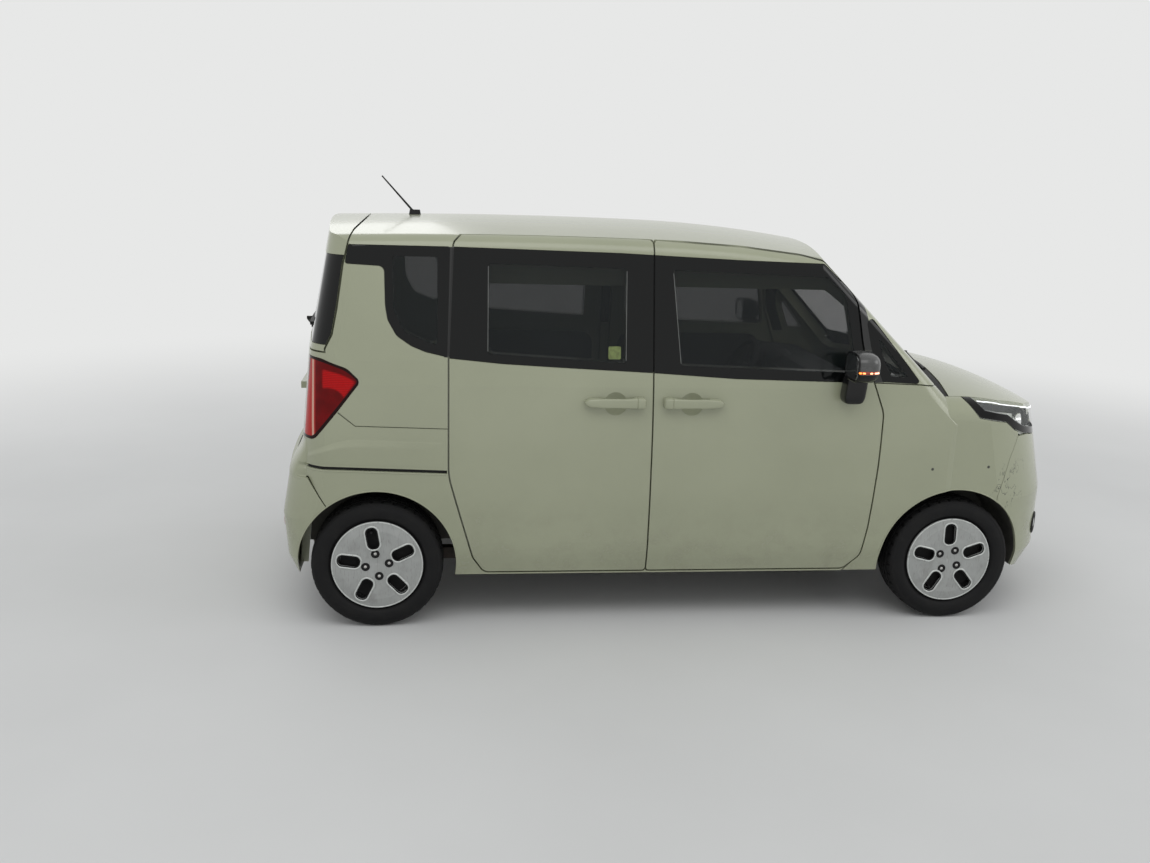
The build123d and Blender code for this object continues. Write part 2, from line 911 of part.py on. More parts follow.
for points, radii in [(QUARTER_BAND, QUARTER_RADII), (CORNER_BAND, CORNER_RADII)]:
    bed_regions.append(side_region(points, radii))
rebate_regions.append(
    side_region(TAIL_LAMP, TAIL_LAMP_RADII, -BAND_CLEAR, TAILGATE_HALF - 30)
)
with BuildPart() as shell_half:
    add(outer)
    add(block(REAR_X, 1110, 0, 900, SILL_Z, OVER_Z), mode=Mode.INTERSECT, clean=False)
    add(depth_face, mode=Mode.SUBTRACT, clean=False)
    add(outside(seat_face, *rebate_regions), mode=Mode.SUBTRACT, clean=False)
    add(outside(glass_bed, *bed_regions), mode=Mode.SUBTRACT, clean=False)
    add(ways, mode=Mode.SUBTRACT, clean=False)
    add(outside(glass_bed, sharp_region(QUARTER_LINE, 0, 500)), mode=Mode.SUBTRACT, clean=False)
    for x, y, low_z, far_z in BUFFERS:
        for z in (low_z, far_z):
            add(layer(buffer_face, depth_face, block(*x, *y, z, z + BUFFER_LENGTH)))
with BuildPart() as body_shell:
    add(whole(shell_half.part))
    add(mirrored(outside(skin_back, sharp_region(RAIL_SLOT, 0, 500))), mode=Mode.SUBTRACT)
finish(body_shell.part, "body_shell")

# Doors: an outer flange with the full outline and an inner box that clears the frame
DOORS = [
    ("front", FRONT_DOOR, FRONT_DOOR_RADII, FRONT_BAND, FRONT_BAND_RADII, FRONT_LIGHT),
    ("rear", REAR_DOOR, REAR_DOOR_RADII, REAR_BAND, REAR_BAND_RADII, REAR_LIGHT),
]
LIGHT_RADII = {"front": FRONT_LIGHT_RADII, "rear": REAR_LIGHT_RADII}
HANDLE_X = {"front": -61, "rear": -384}
for place, points, radii, band, band_radii, light in DOORS:
    flange = layer(outer, flange_back, side_region(points, radii, DOOR_GAP / 2))
    inner_box = layer(flange_back, depth_face, side_region(points, radii, DOOR_STEP))
    recess = outside(glass_bed, side_region(band, band_radii))
    with BuildPart() as handle:
        with Locations((HANDLE_X[place], HALF_WIDTH - 10, HANDLE_Z)):
            Box(HANDLE_LENGTH, 2 * HANDLE_OUT, HANDLE_HEIGHT)
        fillet(handle.edges().filter_by(Axis.Y), radius=HANDLE_HEIGHT / 2 - 1)
        fillet(handle.faces().sort_by(Axis.Y)[-1].edges(), radius=5)
        with Locations((HANDLE_X[place], HALF_WIDTH - 10, HANDLE_Z)):
            Box(HANDLE_GRIP, 2 * HANDLE_OUT - 24, HANDLE_HEIGHT, mode=Mode.SUBTRACT)
    with BuildPart() as door:
        add(flange)
        add(inner_box)
        add(recess, mode=Mode.SUBTRACT)
        add(side_region(light, LIGHT_RADII[place], 0, LIGHT_NEAR_Y), mode=Mode.SUBTRACT)
        with Locations((HANDLE_X[place], HALF_WIDTH + CUP_OUT, HANDLE_Z)):
            Sphere(CUP_RADIUS, mode=Mode.SUBTRACT)
        add(handle.part)
    finish(door.part, place + "_door_left")
    finish(mirrored(door.part), place + "_door_right")
    with BuildPart() as pane:
        add(layer(glass_front, glass_back, side_region(band, band_radii, BAND_CLEAR)))
        add(side_region(points, radii, DOOR_GAP / 2 + CLEAR), mode=Mode.INTERSECT)
    finish(pane.part, place + "_door_glass_left")
    finish(mirrored(pane.part), place + "_door_glass_right")

# Fixed side glass: quarter pane and the small pane ahead of the door
with BuildPart() as side_glass:
    add(layer(glass_front, glass_back, side_region(QUARTER_BAND, QUARTER_RADII, BAND_CLEAR)))
    add(layer(glass_front, glass_back, side_region(CORNER_BAND, CORNER_RADII, BAND_CLEAR)))
finish(side_glass.part, "side_glass_left")
finish(mirrored(side_glass.part), "side_glass_right")

# Front fenders
with BuildPart() as fender:
    add(layer(outer, skin_back, sharp_region(FENDER, 0, FENDER_NEAR_Y)))
    add(side_region(FRONT_DOOR, FRONT_DOOR_RADII, -DOOR_GAP / 2), mode=Mode.SUBTRACT)
    add(front_arches, mode=Mode.SUBTRACT)
    add(sharp_region(HEAD_LAMP, -SEAM, 300), mode=Mode.SUBTRACT)
    add([hood_way, cowl_way, screen_region(-SEAM, -250, 100)], mode=Mode.SUBTRACT)
finish(fender.part, "front_fender_left")
finish(mirrored(fender.part), "front_fender_right")

# Bonnet
with BuildPart() as bonnet:
    add(layer(outer, flange_back, plan_region(BONNET_HALF + BONNET_NOSE, 878, 1300)))
finish(whole(bonnet.part), "bonnet")

# Cowl below the windscreen
with BuildPart() as cowl:
    cowl_top = plan_region(COWL_HALF + BONNET_HALF[3::-1], 900, 1300, BAND_CLEAR)
    add(layer(glass_front, flange_back, cowl_top))
    add(screen_region(-SEAM, -250, 100), mode=Mode.SUBTRACT)
    add(hood_way, mode=Mode.SUBTRACT)
finish(whole(cowl.part), "cowl")

# Front bumper with the lower intake
with BuildPart() as bumper:
    add(layer(outer, skin_back, sharp_region(FRONT_BUMPER, BUMPER_SEAM)))
    add(front_arches, mode=Mode.SUBTRACT)
    add(sharp_region(HEAD_LAMP, -SEAM, HEAD_LAMP_INNER_Y - SEAM), mode=Mode.SUBTRACT)
    half, low, high = LOWER_GRILLE
    with Locations((FRONT_X, 0, (low + high) / 2)):
        Box(300, 2 * half, high - low, mode=Mode.SUBTRACT)
    pad = block(PLATE_FACE_X - 150, PLATE_FACE_X, 0, PLATE_HALF, PLATE_Z - 60, PLATE_Z + 60)
    add(outside(skin_back, pad))
    with BuildSketch(Plane.YZ.offset(PLATE_FACE_X)):
        with Locations((PLATE_HOLE_Y, PLATE_Z)):
            Circle(PLATE_HOLE)
    extrude(amount=-80, mode=Mode.SUBTRACT)
finish(whole(bumper.part), "front_bumper")

# Grille: bars in the lower intake and a slot below the bonnet
with BuildPart() as grille:
    half, low, high = LOWER_GRILLE
    pitch = (high - low) / GRILLE_BARS
    for index in range(GRILLE_BARS):
        bar_z = low + pitch * (index + 0.5)
        add(block(1500, FRONT_X, 0, half - CLEAR, bar_z - 6, bar_z + 6))
    for post_y in (0, half * 0.6):
        add(block(1500, FRONT_X, post_y - 6, post_y + 6, low + CLEAR, high - CLEAR))
    half, low, high = UPPER_GRILLE
    add(block(1500, FRONT_X, 0, half, low, high))
    add(outer, mode=Mode.INTERSECT)
    add(seat_face, mode=Mode.SUBTRACT)
finish(whole(grille.part), "grille")

# Rear bumper
with BuildPart() as bumper:
    add(bumper_column(0))
    add(sharp_region(REAR_BUMPER), mode=Mode.INTERSECT)
    add(bumper_column(SKIN), mode=Mode.SUBTRACT)
    add(rear_arches, mode=Mode.SUBTRACT)
finish(whole(bumper.part), "rear_bumper")

# Tailgate and its glass
gate_glass_way = tailgate_region(DOOR_GAP / 2 + BAND_CLEAR)
with BuildPart() as gate:
    add(layer(outer, flange_back, tailgate_region(DOOR_GAP / 2)))
    add(layer(flange_back, depth_face, tailgate_region(DOOR_STEP)))
    add(
        outside(
            glass_bed,
            block(-1850, -1400, -900, 900, TAIL_GLASS_LOW_Z, TAIL_GLASS_HIGH_Z),
        ),
        mode=Mode.SUBTRACT,
    )
    add(
        block(-1850, -1400, -TAIL_LIGHT_HALF, TAIL_LIGHT_HALF, 1240, 1520),
        mode=Mode.SUBTRACT,
    )
    add(
        outside(glass_bed, block(-1850, -1400, -1, PLATE_BAY[0], PLATE_BAY[1], PLATE_BAY[2])),
        mode=Mode.SUBTRACT,
    )
    add(block(GRIP_BAR[0], GRIP_BAR[1], 0, PLATE_BAY[0] + 30, PLATE_BAY[2] + 2, PLATE_BAY[2] + 32))
finish(whole(gate.part), "tailgate")
with BuildPart() as gate_glass:
    add(layer(glass_front, glass_back, gate_glass_way))
    add(
        block(
            -1850,
            -1400,
            -900,
            900,
            TAIL_GLASS_LOW_Z + BAND_CLEAR,
            TAIL_GLASS_HIGH_Z - BAND_CLEAR,
        ),
        mode=Mode.INTERSECT,
    )
finish(whole(gate_glass.part), "tailgate_glass")

# Rear wiper at rest along the foot of the tailgate glass
with BuildPart() as rear_wiper:
    tail_x = TAIL_BELT_X + (REAR_BLADE_Z - TAIL_BELT_Z) * TAIL_UPPER_SLOPE
    reach = math.hypot(REAR_BLADE_Y, REAR_BLADE_Z - REAR_PIVOT_Z)
    lean = math.degrees(math.atan2(REAR_BLADE_Z - REAR_PIVOT_Z, REAR_BLADE_Y))
    with BuildSketch(Plane.YZ.offset(tail_x - 32)):
        with Locations((0, REAR_PIVOT_Z)):
            Circle(17)
    extrude(amount=60)
    with BuildSketch(Plane.YZ.offset(tail_x - 32)):
        with Locations(Location((REAR_BLADE_Y / 2, (REAR_BLADE_Z + REAR_PIVOT_Z) / 2), lean)):
            SlotCenterToCenter(reach, 14)
    extrude(amount=24)
    add(outer, mode=Mode.SUBTRACT)
    add(mirrored(outer), mode=Mode.SUBTRACT)
    with BuildSketch(Plane.XY.offset(REAR_BLADE_Z - 7)):
        with Locations((tail_x + TAIL_PLAN_RADIUS, 0)):
            Circle(TAIL_PLAN_RADIUS + 12)
            Circle(TAIL_PLAN_RADIUS - 12, mode=Mode.SUBTRACT)
        with Locations((tail_x, REAR_BLADE_Y)):
            Rectangle(200, REAR_BLADE, mode=Mode.INTERSECT)
    extrude(amount=14)
    add(glass_front, mode=Mode.SUBTRACT)
    add(mirrored(glass_front), mode=Mode.SUBTRACT)
finish(rear_wiper.part, "rear_wiper")

# Windscreen
with BuildPart() as screen:
    add(layer(glass_front, glass_back, screen_region(0, -250, 100)))
finish(whole(screen.part), "windscreen")

# Head lamps: a bucket open to the front and its clear cover
with BuildPart() as lens:
    add(layer(outer, glass_back, sharp_region(HEAD_LAMP, 0, HEAD_LAMP_INNER_Y)))
    add([hood_way, cowl_way], mode=Mode.SUBTRACT)
    add(front_arches, mode=Mode.SUBTRACT)
finish(lens.part, "headlamp_lens_left")
finish(mirrored(lens.part), "headlamp_lens_right")
with BuildPart() as bucket:
    add(layer(glass_bed, depth_face, sharp_region(HEAD_LAMP, 0, HEAD_LAMP_INNER_Y)))
    flange = sharp_region(HEAD_LAMP, -LAMP_FLANGE, HEAD_LAMP_INNER_Y - LAMP_FLANGE)
    add(layer(lamp_seat, seat_face, flange))
    add([hood_way, cowl_way], mode=Mode.SUBTRACT)
    add(front_arches, mode=Mode.SUBTRACT)
    hollow = outside(lamp_floor, sharp_region(HEAD_LAMP, 12, HEAD_LAMP_INNER_Y + 12))
    add(hollow, mode=Mode.SUBTRACT)
finish(bucket.part, "headlamp_left")
finish(mirrored(bucket.part), "headlamp_right")

# Tail lamps
with BuildPart() as lamp:
    tail_way = side_region(
        TAIL_LAMP, TAIL_LAMP_RADII, 0, TAILGATE_HALF + DOOR_GAP / 2
    )
    add(layer(outer, lamp_back, tail_way))
finish(lamp.part, "tail_lamp_left")
finish(mirrored(lamp.part), "tail_lamp_right")

# Wheels and tyres
with BuildPart() as wheel:
    with BuildSketch(Plane.XY):
        with BuildLine():
            Polyline(*WHEEL_PROFILE, close=True)
        make_face()
    revolve(axis=Axis.Y)
    with BuildSketch(Plane.XZ.offset(-90)):
        with PolarLocations(SLOT_RADIUS, SLOTS, start_angle=90):
            RectangleRounded(SLOT_LENGTH, SLOT_WIDTH, SLOT_ROUND)
        with PolarLocations(NUT_CIRCLE, NUTS, start_angle=90):
            Circle(NUT_HOLE)
    extrude(amount=40, mode=Mode.SUBTRACT)
with BuildPart() as tyre:
    with BuildSketch(Plane.XY):
        with BuildLine():
            Polyline(*TYRE_PROFILE, close=True)
        make_face()
    revolve(axis=Axis.Y)
for place, axle_x in AXLES:
    for name, side in SIDES:
        spin = 0 if side > 0 else 180
        spot = Location((axle_x, side * TRACK_HALF, WHEEL_Z), (0, 0, spin))
        parked = spot * Rotation(0, WHEEL_TURN[place, name], 0)
        finish(parked * wheel.part, "wheel_" + place + "_" + name)
        finish(spot * tyre.part, "tyre_" + place + "_" + name)

# Steering knuckles with hub, brake disc and stub
with BuildPart() as knuckle:
    hub_y = TRACK_HALF + HUB_FACE - CLEAR
    with BuildSketch(Plane.XZ.offset(-(KINGPIN_Y - 20))):
        with Locations((FRONT_AXLE_X, WHEEL_Z)):
            Circle(45)
    extrude(amount=-(hub_y - KINGPIN_Y + 20))
    with BuildSketch(Plane.XZ.offset(-hub_y)):
        with Locations((FRONT_AXLE_X, WHEEL_Z)):
            Circle(HUB_RADIUS)
    extrude(amount=12)
    with BuildSketch(Plane.XZ.offset(-hub_y)):
        with Locations((FRONT_AXLE_X, WHEEL_Z)):
            Circle(SPIGOT_RADIUS)
    extrude(amount=-SPIGOT_LENGTH)
    with BuildSketch(Plane.XZ.offset(-(KINGPIN_Y + 30))):
        with Locations((FRONT_AXLE_X, WHEEL_Z)):
            Circle(118)
    extrude(amount=-10)
    with Locations((FRONT_AXLE_X, KINGPIN_Y, WHEEL_Z + 3)):
        Box(50, 30, 214)
    with BuildSketch(Plane.XY.offset(ARM_Z[1])):
        with Locations((FRONT_AXLE_X, KINGPIN_Y)):
            Circle(BALL_PIN_RADIUS + CLEAR)
    extrude(amount=BALL_PIN_LENGTH + CLEAR, mode=Mode.SUBTRACT)
finish(knuckle.part, "knuckle_left")
finish(mirrored(knuckle.part), "knuckle_right")

# Front axle: crossmember, lower arms and struts
with BuildPart() as front_axle:
    add(block(1100, 1205, -RAIL_Y[1], RAIL_Y[1], 190, 240))
    add(block(1110, 1195, -RAIL_Y[1], -RAIL_Y[0], 240, RAIL_Z[0]))
    add(block(1110, 1195, RAIL_Y[0], RAIL_Y[1], 240, RAIL_Z[0]))
    for name, side in SIDES:
        y0, y1 = sorted((side * RAIL_Y[0], side * (KINGPIN_Y + 12)))
        add(block(FRONT_AXLE_X - 20, FRONT_AXLE_X + 20, y0, y1, *ARM_Z))
        y0, y1 = sorted((side * RAIL_Y[0], side * RAIL_Y[1]))
        add(block(FRONT_AXLE_X - 20, FRONT_AXLE_X + 20, y0, y1, ARM_Z[0], 192))
    tower_z = WHEEL_Z + ARCH_RADIUS + 1
    with BuildSketch(Plane.XY.offset(ARM_Z[1])):
        with Locations((FRONT_AXLE_X, KINGPIN_Y), (FRONT_AXLE_X, -KINGPIN_Y)):
            Circle(BALL_PIN_RADIUS)
    extrude(amount=BALL_PIN_LENGTH)
    with BuildSketch(Plane.XY.offset(ARM_Z[1])):
        with Locations((FRONT_AXLE_X, STRUT_Y), (FRONT_AXLE_X, -STRUT_Y)):
            Circle(STRUT_RADIUS - 6)
    extrude(amount=tower_z - ARM_Z[1])
    with BuildSketch(Plane.XY.offset(ARM_Z[1] + 30)):
        with Locations((FRONT_AXLE_X, STRUT_Y), (FRONT_AXLE_X, -STRUT_Y)):
            Circle(STRUT_RADIUS)
    extrude(amount=160)
finish(front_axle.part, "front_axle")

# Floor, bulkhead, rails and wheel wells
with BuildPart() as front_well:
    with BuildSketch(Plane.XZ.offset(-FRONT_WELL_Y)):
        with Locations((FRONT_AXLE_X, WHEEL_Z)):
            Circle(ARCH_RADIUS + LINER_THICK + 2)
            Circle(ARCH_RADIUS + 2, mode=Mode.SUBTRACT)
    extrude(amount=-330)
    with BuildSketch(Plane.XZ.offset(-FRONT_WELL_Y + LINER_THICK)):
        with Locations((FRONT_AXLE_X, WHEEL_Z)):
            Circle(ARCH_RADIUS + LINER_THICK + 2)
    extrude(amount=-LINER_THICK)
    add(block(0, 1700, 0, 900, -200, SILL_Z), mode=Mode.SUBTRACT)
    add(block(FRONT_AXLE_X - 60, FRONT_AXLE_X + 60, 300, 500, 0, 420), mode=Mode.SUBTRACT)
    add(lamp_seat, mode=Mode.INTERSECT)
with BuildPart() as rear_well:
    with BuildSketch(Plane.XZ.offset(-REAR_WELL_Y)):
        with Locations((REAR_AXLE_X, WHEEL_Z)):
            Circle(ARCH_RADIUS + LINER_THICK + 2)
            Circle(ARCH_RADIUS + 2, mode=Mode.SUBTRACT)
    extrude(amount=-190)
    with BuildSketch(Plane.XZ.offset(-REAR_WELL_Y + LINER_THICK)):
        with Locations((REAR_AXLE_X, WHEEL_Z)):
            Circle(ARCH_RADIUS + LINER_THICK + 2)
    extrude(amount=-LINER_THICK)
    add(block(-1700, 0, 0, 900, -200, LOAD_FLOOR_Z - 100), mode=Mode.SUBTRACT)
    add(floor_edge, mode=Mode.INTERSECT)
with BuildPart() as floor_half:
    add(block(FLOOR_BACK_X, FLOOR_FRONT_X, 0, 760, FLOOR_Z - FLOOR_THICK, FLOOR_Z))
    add(block(FLOOR_FRONT_X - BULKHEAD_THICK, FLOOR_FRONT_X, 0, 760, FLOOR_Z, 960))
    add(block(FLOOR_BACK_X - 10, FLOOR_BACK_X, 0, 760, FLOOR_Z - 10, LOAD_FLOOR_Z))
    add(block(-1700, FLOOR_BACK_X, 0, 760, LOAD_FLOOR_Z - 10, LOAD_FLOOR_Z))
    add(floor_edge, mode=Mode.INTERSECT)
    add(block(FLOOR_FRONT_X - 5, 1620, *RAIL_Y, *RAIL_Z))
    add(block(1590, 1630, 0, RAIL_Y[1], *RAIL_Z))
    add(block(1590, 1630, *RAIL_Y, RAIL_Z[0], BEAM_TOP_Z))
    beam_reach = block(1610, FRONT_X, 0, RAIL_Y[1], BEAM_TOP_Z - 80, BEAM_TOP_Z)
    screw_room = block(1680, FRONT_X, PLATE_HOLE_Y - 14, PLATE_HOLE_Y + 14, PLATE_Z - 14, PLATE_Z + 14)
    add(layer(lamp_seat, depth_face, beam_reach))
    add(block(1610, 1680, *RAIL_Y, BEAM_TOP_Z - 80, BEAM_TOP_Z))
    add(screw_room, mode=Mode.SUBTRACT)
    add(block(LOCK_X, LOCK_X + 110, 0, LOCK_HALF, BEAM_TOP_Z - 60, BEAM_TOP_Z - 20))
    lock_post = block(LOCK_X, LOCK_X + 25, 0, LOCK_HALF, BEAM_TOP_Z - 60, NOSE_TOP_Z)
    with BuildPart(mode=Mode.PRIVATE) as post:
        add(lock_post)
        add(buffer_face, mode=Mode.INTERSECT)
    add(post.part)
    add(arch_cut(REAR_AXLE_X, ARCH_RADIUS + LINER_THICK, REAR_WELL_Y), mode=Mode.SUBTRACT)
    add(arch_cut(FRONT_AXLE_X, ARCH_RADIUS + LINER_THICK, FRONT_WELL_Y), mode=Mode.SUBTRACT)
    add(front_well.part)
    add(rear_well.part)
finish(whole(floor_half.part), "floor_pan")

# Rear axle: torsion beam, trailing arms, springs, hubs
with BuildPart() as rear_half:
    hub_y = TRACK_HALF + HUB_FACE - CLEAR
    beam_x = REAR_AXLE_X + BEAM_AHEAD
    with BuildSketch(Plane.XZ):
        with Locations((beam_x, BEAM_Z)):
            Circle(BEAM_RADIUS)
    extrude(amount=-ARM_Y)
    add(block(REAR_AXLE_X - 30, beam_x + 170, ARM_Y - 45, ARM_Y, BEAM_Z - 25, BEAM_Z + 25))
    with BuildSketch(Plane.XZ.offset(-(ARM_Y - 45))):
        with Locations((beam_x + 170, BEAM_Z)):
            Circle(34)
    extrude(amount=-45)
    add(block(beam_x + 150, beam_x + 190, ARM_Y - 45, ARM_Y, BEAM_Z, LOAD_FLOOR_Z - 10))
    with BuildSketch(Plane.XY.offset(BEAM_Z)):
        with Locations((REAR_AXLE_X + 60, ARM_Y - 60)):
            Circle(48)
            Circle(38, mode=Mode.SUBTRACT)
    extrude(amount=LOAD_FLOOR_Z - 10 - BEAM_Z)
    with BuildSketch(Plane.XZ.offset(-(ARM_Y - 20))):
        with Locations((REAR_AXLE_X, WHEEL_Z)):
            Circle(40)
    extrude(amount=-(hub_y - ARM_Y + 20))
    with BuildSketch(Plane.XZ.offset(-(KINGPIN_Y + 20))):
        with Locations((REAR_AXLE_X, WHEEL_Z)):
            Circle(112)
    extrude(amount=-50)
    with BuildSketch(Plane.XZ.offset(-hub_y)):
        with Locations((REAR_AXLE_X, WHEEL_Z)):
            Circle(HUB_RADIUS)
    extrude(amount=12)
    with BuildSketch(Plane.XZ.offset(-hub_y)):
        with Locations((REAR_AXLE_X, WHEEL_Z)):
            Circle(SPIGOT_RADIUS)
    extrude(amount=-SPIGOT_LENGTH)
finish(whole(rear_half.part), "rear_axle")

# Engine and gearbox as one plain block on its mounts
with BuildPart() as engine:
    add(block(*ENGINE))
    add(block(1380, 1440, ENGINE[3], RAIL_Y[0], 320, 370))
    add(block(1380, 1440, -RAIL_Y[0], ENGINE[2], 320, 370))
finish(engine.part, "engine")

# Fuel tank under the floor
with BuildPart() as tank:
    add(block(-760, -160, -120, 480, 165, FLOOR_Z - FLOOR_THICK - CLEAR))
    fillet(tank.edges().filter_by(Axis.Z), radius=60)
    fillet(tank.faces().sort_by(Axis.Z)[0].edges(), radius=20)
finish(tank.part, "fuel_tank")

# Exhaust: pipe, silencer and tail pipe
with BuildPart() as exhaust:
    with BuildLine() as route:
        FilletPolyline(
            (1230 - CLEAR, -220, 300),
            (1080, -220, 300),
            (1000, -230, 205),
            (-1000, -240, 205),
            (-1180, -260, 330),
            (-1560, -320, 340),
            radius=60,
        )
    with BuildSketch(Plane(origin=route.line @ 0, z_dir=route.line % 0)):
        Circle(22)
    sweep()
    with Locations((-1580, -330, 330)):
        Box(150, 420, 110)
    fillet(exhaust.edges().filter_by(Axis.Y).group_by(Axis.X)[0], radius=40)
finish(exhaust.part, "exhaust")

# Cabin
for name, side in SIDES:
    with BuildPart() as seat:
        cushion_x = SEAT_BACK_X + SEAT_LENGTH / 2
        with Locations((cushion_x, side * SEAT_Y, SEAT_Z)):
            Box(SEAT_LENGTH, SEAT_WIDTH, SEAT_THICK)
        with BuildSketch(Plane.XZ.offset(-side * SEAT_Y)):
            with BuildLine():
                Polyline(*SEAT_BACK, close=True)
            make_face()
        extrude(amount=(SEAT_WIDTH - 20) / 2, both=True)
        with BuildSketch(Plane.XZ.offset(-side * SEAT_Y)):
            with BuildLine():
                Polyline(*HEAD_REST, close=True)
            make_face()
        extrude(amount=130, both=True)
    finish(seat.part, "seat_front_" + name)
with BuildPart() as seat_frames:
    for name, side in SIDES:
        for offset in (-200, 180):
            y0, y1 = sorted((side * SEAT_Y + offset, side * SEAT_Y + offset + 20))
            add(
                block(
                    SEAT_BACK_X + 20,
                    SEAT_BACK_X + SEAT_LENGTH - 40,
                    y0,
                    y1,
                    FLOOR_Z,
                    SEAT_Z - SEAT_THICK / 2 - CLEAR,
                )
            )
    for y in (-420, 0, 420):
        add(block(-800, -460, y - 20, y + 20, FLOOR_Z, REAR_SEAT_Z - 60 - CLEAR))
finish(seat_frames.part, "seat_frames")
with BuildPart() as rear_seat:
    add(block(-860, -400, -560, 560, REAR_SEAT_Z - 60, REAR_SEAT_Z + 60))
    with BuildSketch(Plane.XZ):
        with BuildLine():
            Polyline(*REAR_BACK, close=True)
        make_face()
    extrude(amount=560, both=True)
finish(rear_seat.part, "seat_rear")

# Dashboard and steering wheel
with BuildPart() as dashboard:
    with BuildSketch(Plane.XZ):
        with BuildLine():
            Polyline(*DASH, close=True)
        make_face()
    extrude(amount=670, both=True)
    fillet(dashboard.edges().filter_by(Axis.Y).sort_by(Axis.X)[0:2], radius=25)
finish(dashboard.part, "dashboard")
with BuildPart() as steering_wheel:
    rim = Plane(origin=STEER_CENTRE, z_dir=(-math.cos(math.radians(28)), 0, math.sin(math.radians(28))))
    with BuildSketch(Plane(origin=rim.origin, x_dir=rim.x_dir, z_dir=rim.y_dir)):
        with Locations((STEER_RADIUS, 0)):
            Circle(14)
    revolve(axis=Axis(rim.origin, rim.z_dir))
    with BuildSketch(rim.offset(-30)):
        Circle(62)
    extrude(amount=36)
    with BuildSketch(rim.offset(-12)):
        Rectangle(24, 2 * STEER_RADIUS)
        with Locations((0 - STEER_RADIUS / 2, 0)):
            Rectangle(STEER_RADIUS, 24)
    extrude(amount=12)
    with BuildSketch(rim.offset(-30)):
        Circle(28)
    extrude(amount=-STEER_REACH)
    add(dashboard.part, mode=Mode.SUBTRACT)
finish(steering_wheel.part, "steering_wheel")

# Door mirrors
with BuildPart() as mirror_unit:
    with Locations((MIRROR_X, MIRROR_Y, MIRROR_Z)):
        Box(120, 170, 128)
    fillet(mirror_unit.edges(), radius=34)
    add(block(572, 668, 770, 862, 1004, 1130))
    fillet(mirror_unit.edges().filter_by(Axis.Z).group_by(Axis.Z)[0], radius=18)
    add(outer, mode=Mode.SUBTRACT)
finish(mirror_unit.part, "mirror_left")
finish(mirrored(mirror_unit.part), "mirror_right")

# Aerial at the back of the roof
with BuildPart() as antenna:
    with BuildSketch(Plane.XY.offset(1660)):
        with Locations((-1228, 0)):
            SlotOverall(66, 30)
    extrude(amount=56, taper=10)
    lean = Vector(-150, 0, 165).normalized()
    with BuildSketch(Plane(origin=(-1228, 0, 1700), z_dir=lean)):
        Circle(5)
    extrude(amount=220, taper=0.5)
    add(outer, mode=Mode.SUBTRACT)
    add(mirrored(outer), mode=Mode.SUBTRACT)
finish(antenna.part, "antenna")

# Wipers parked along the foot of the windscreen
with BuildPart() as wipers:
    for pivot_x, pivot_y, base_z, middle_y, half_length in WIPERS:
        blade_x = SCREEN_BASE_X - (WIPER_Z - SCREEN_BASE_Z) * SCREEN_SLOPE
        centre_x = blade_x - SCREEN_PLAN_RADIUS
        with BuildSketch(Plane.XY.offset(WIPER_Z)):
            with Locations((centre_x, 0)):
                Circle(SCREEN_PLAN_RADIUS + 12)
                Circle(SCREEN_PLAN_RADIUS - 2.5, mode=Mode.SUBTRACT)
            with Locations((blade_x, middle_y)):
                Rectangle(400, 2 * half_length, mode=Mode.INTERSECT)
        extrude(amount=12)
        arm_x = centre_x + math.sqrt((SCREEN_PLAN_RADIUS + 6) ** 2 - middle_y**2)
        lean = math.degrees(math.atan2(middle_y - pivot_y, arm_x - pivot_x))
        with BuildSketch(Plane.XY.offset(WIPER_Z)):
            with Locations(Location(((pivot_x + arm_x) / 2, (pivot_y + middle_y) / 2), lean)):
                SlotCenterToCenter(math.hypot(arm_x - pivot_x, middle_y - pivot_y), 14)
        extrude(amount=12)
        with BuildSketch(Plane.XY.offset(base_z)):
            with Locations((pivot_x, pivot_y)):
                Circle(13)
        extrude(amount=WIPER_Z + 12 - base_z)
    add(glass_front, mode=Mode.SUBTRACT)
    add(mirrored(glass_front), mode=Mode.SUBTRACT)
finish(wipers.part, "wipers")

# Guide rail of the sliding door on the right
with BuildPart() as slide_rail:
    add(layer(glass_bed, skin_back, sharp_region(RAIL_SLOT, CLEAR, 500)))
finish(mirrored(slide_rail.part), "slide_rail")
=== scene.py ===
import json
from functools import reduce
from math import copysign, cos, exp, hypot, pi, radians, sin

import bmesh
import bpy
from mathutils import Matrix, Vector
from mathutils.bvhtree import BVHTree


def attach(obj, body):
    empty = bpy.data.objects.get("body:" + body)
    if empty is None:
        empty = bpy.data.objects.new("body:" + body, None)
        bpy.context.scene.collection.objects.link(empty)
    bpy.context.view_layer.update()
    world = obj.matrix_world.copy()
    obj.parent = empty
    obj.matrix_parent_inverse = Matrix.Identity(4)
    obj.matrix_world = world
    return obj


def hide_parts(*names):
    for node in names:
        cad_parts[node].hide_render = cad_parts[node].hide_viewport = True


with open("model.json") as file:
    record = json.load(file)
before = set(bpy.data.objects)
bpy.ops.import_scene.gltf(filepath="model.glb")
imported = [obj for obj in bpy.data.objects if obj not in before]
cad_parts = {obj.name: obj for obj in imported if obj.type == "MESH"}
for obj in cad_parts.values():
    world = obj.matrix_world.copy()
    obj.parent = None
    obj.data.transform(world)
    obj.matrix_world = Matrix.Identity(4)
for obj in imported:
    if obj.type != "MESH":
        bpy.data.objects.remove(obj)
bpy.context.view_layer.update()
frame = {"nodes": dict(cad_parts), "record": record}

NODES = frame["nodes"]
SIDES = [("left", 1), ("right", -1)]
AXLES = {"front": 1.1525, "rear": -1.3675}
WHEELS = [(place + "_" + side, AXLES[place], sign) for place in AXLES for side, sign in SIDES]
DOORS = [(place, side, sign, place + "_door_" + side) for place in AXLES for side, sign in SIDES]
DOORS[-1] = (*DOORS[-1][:3], "body")  # the sliding door has no joint
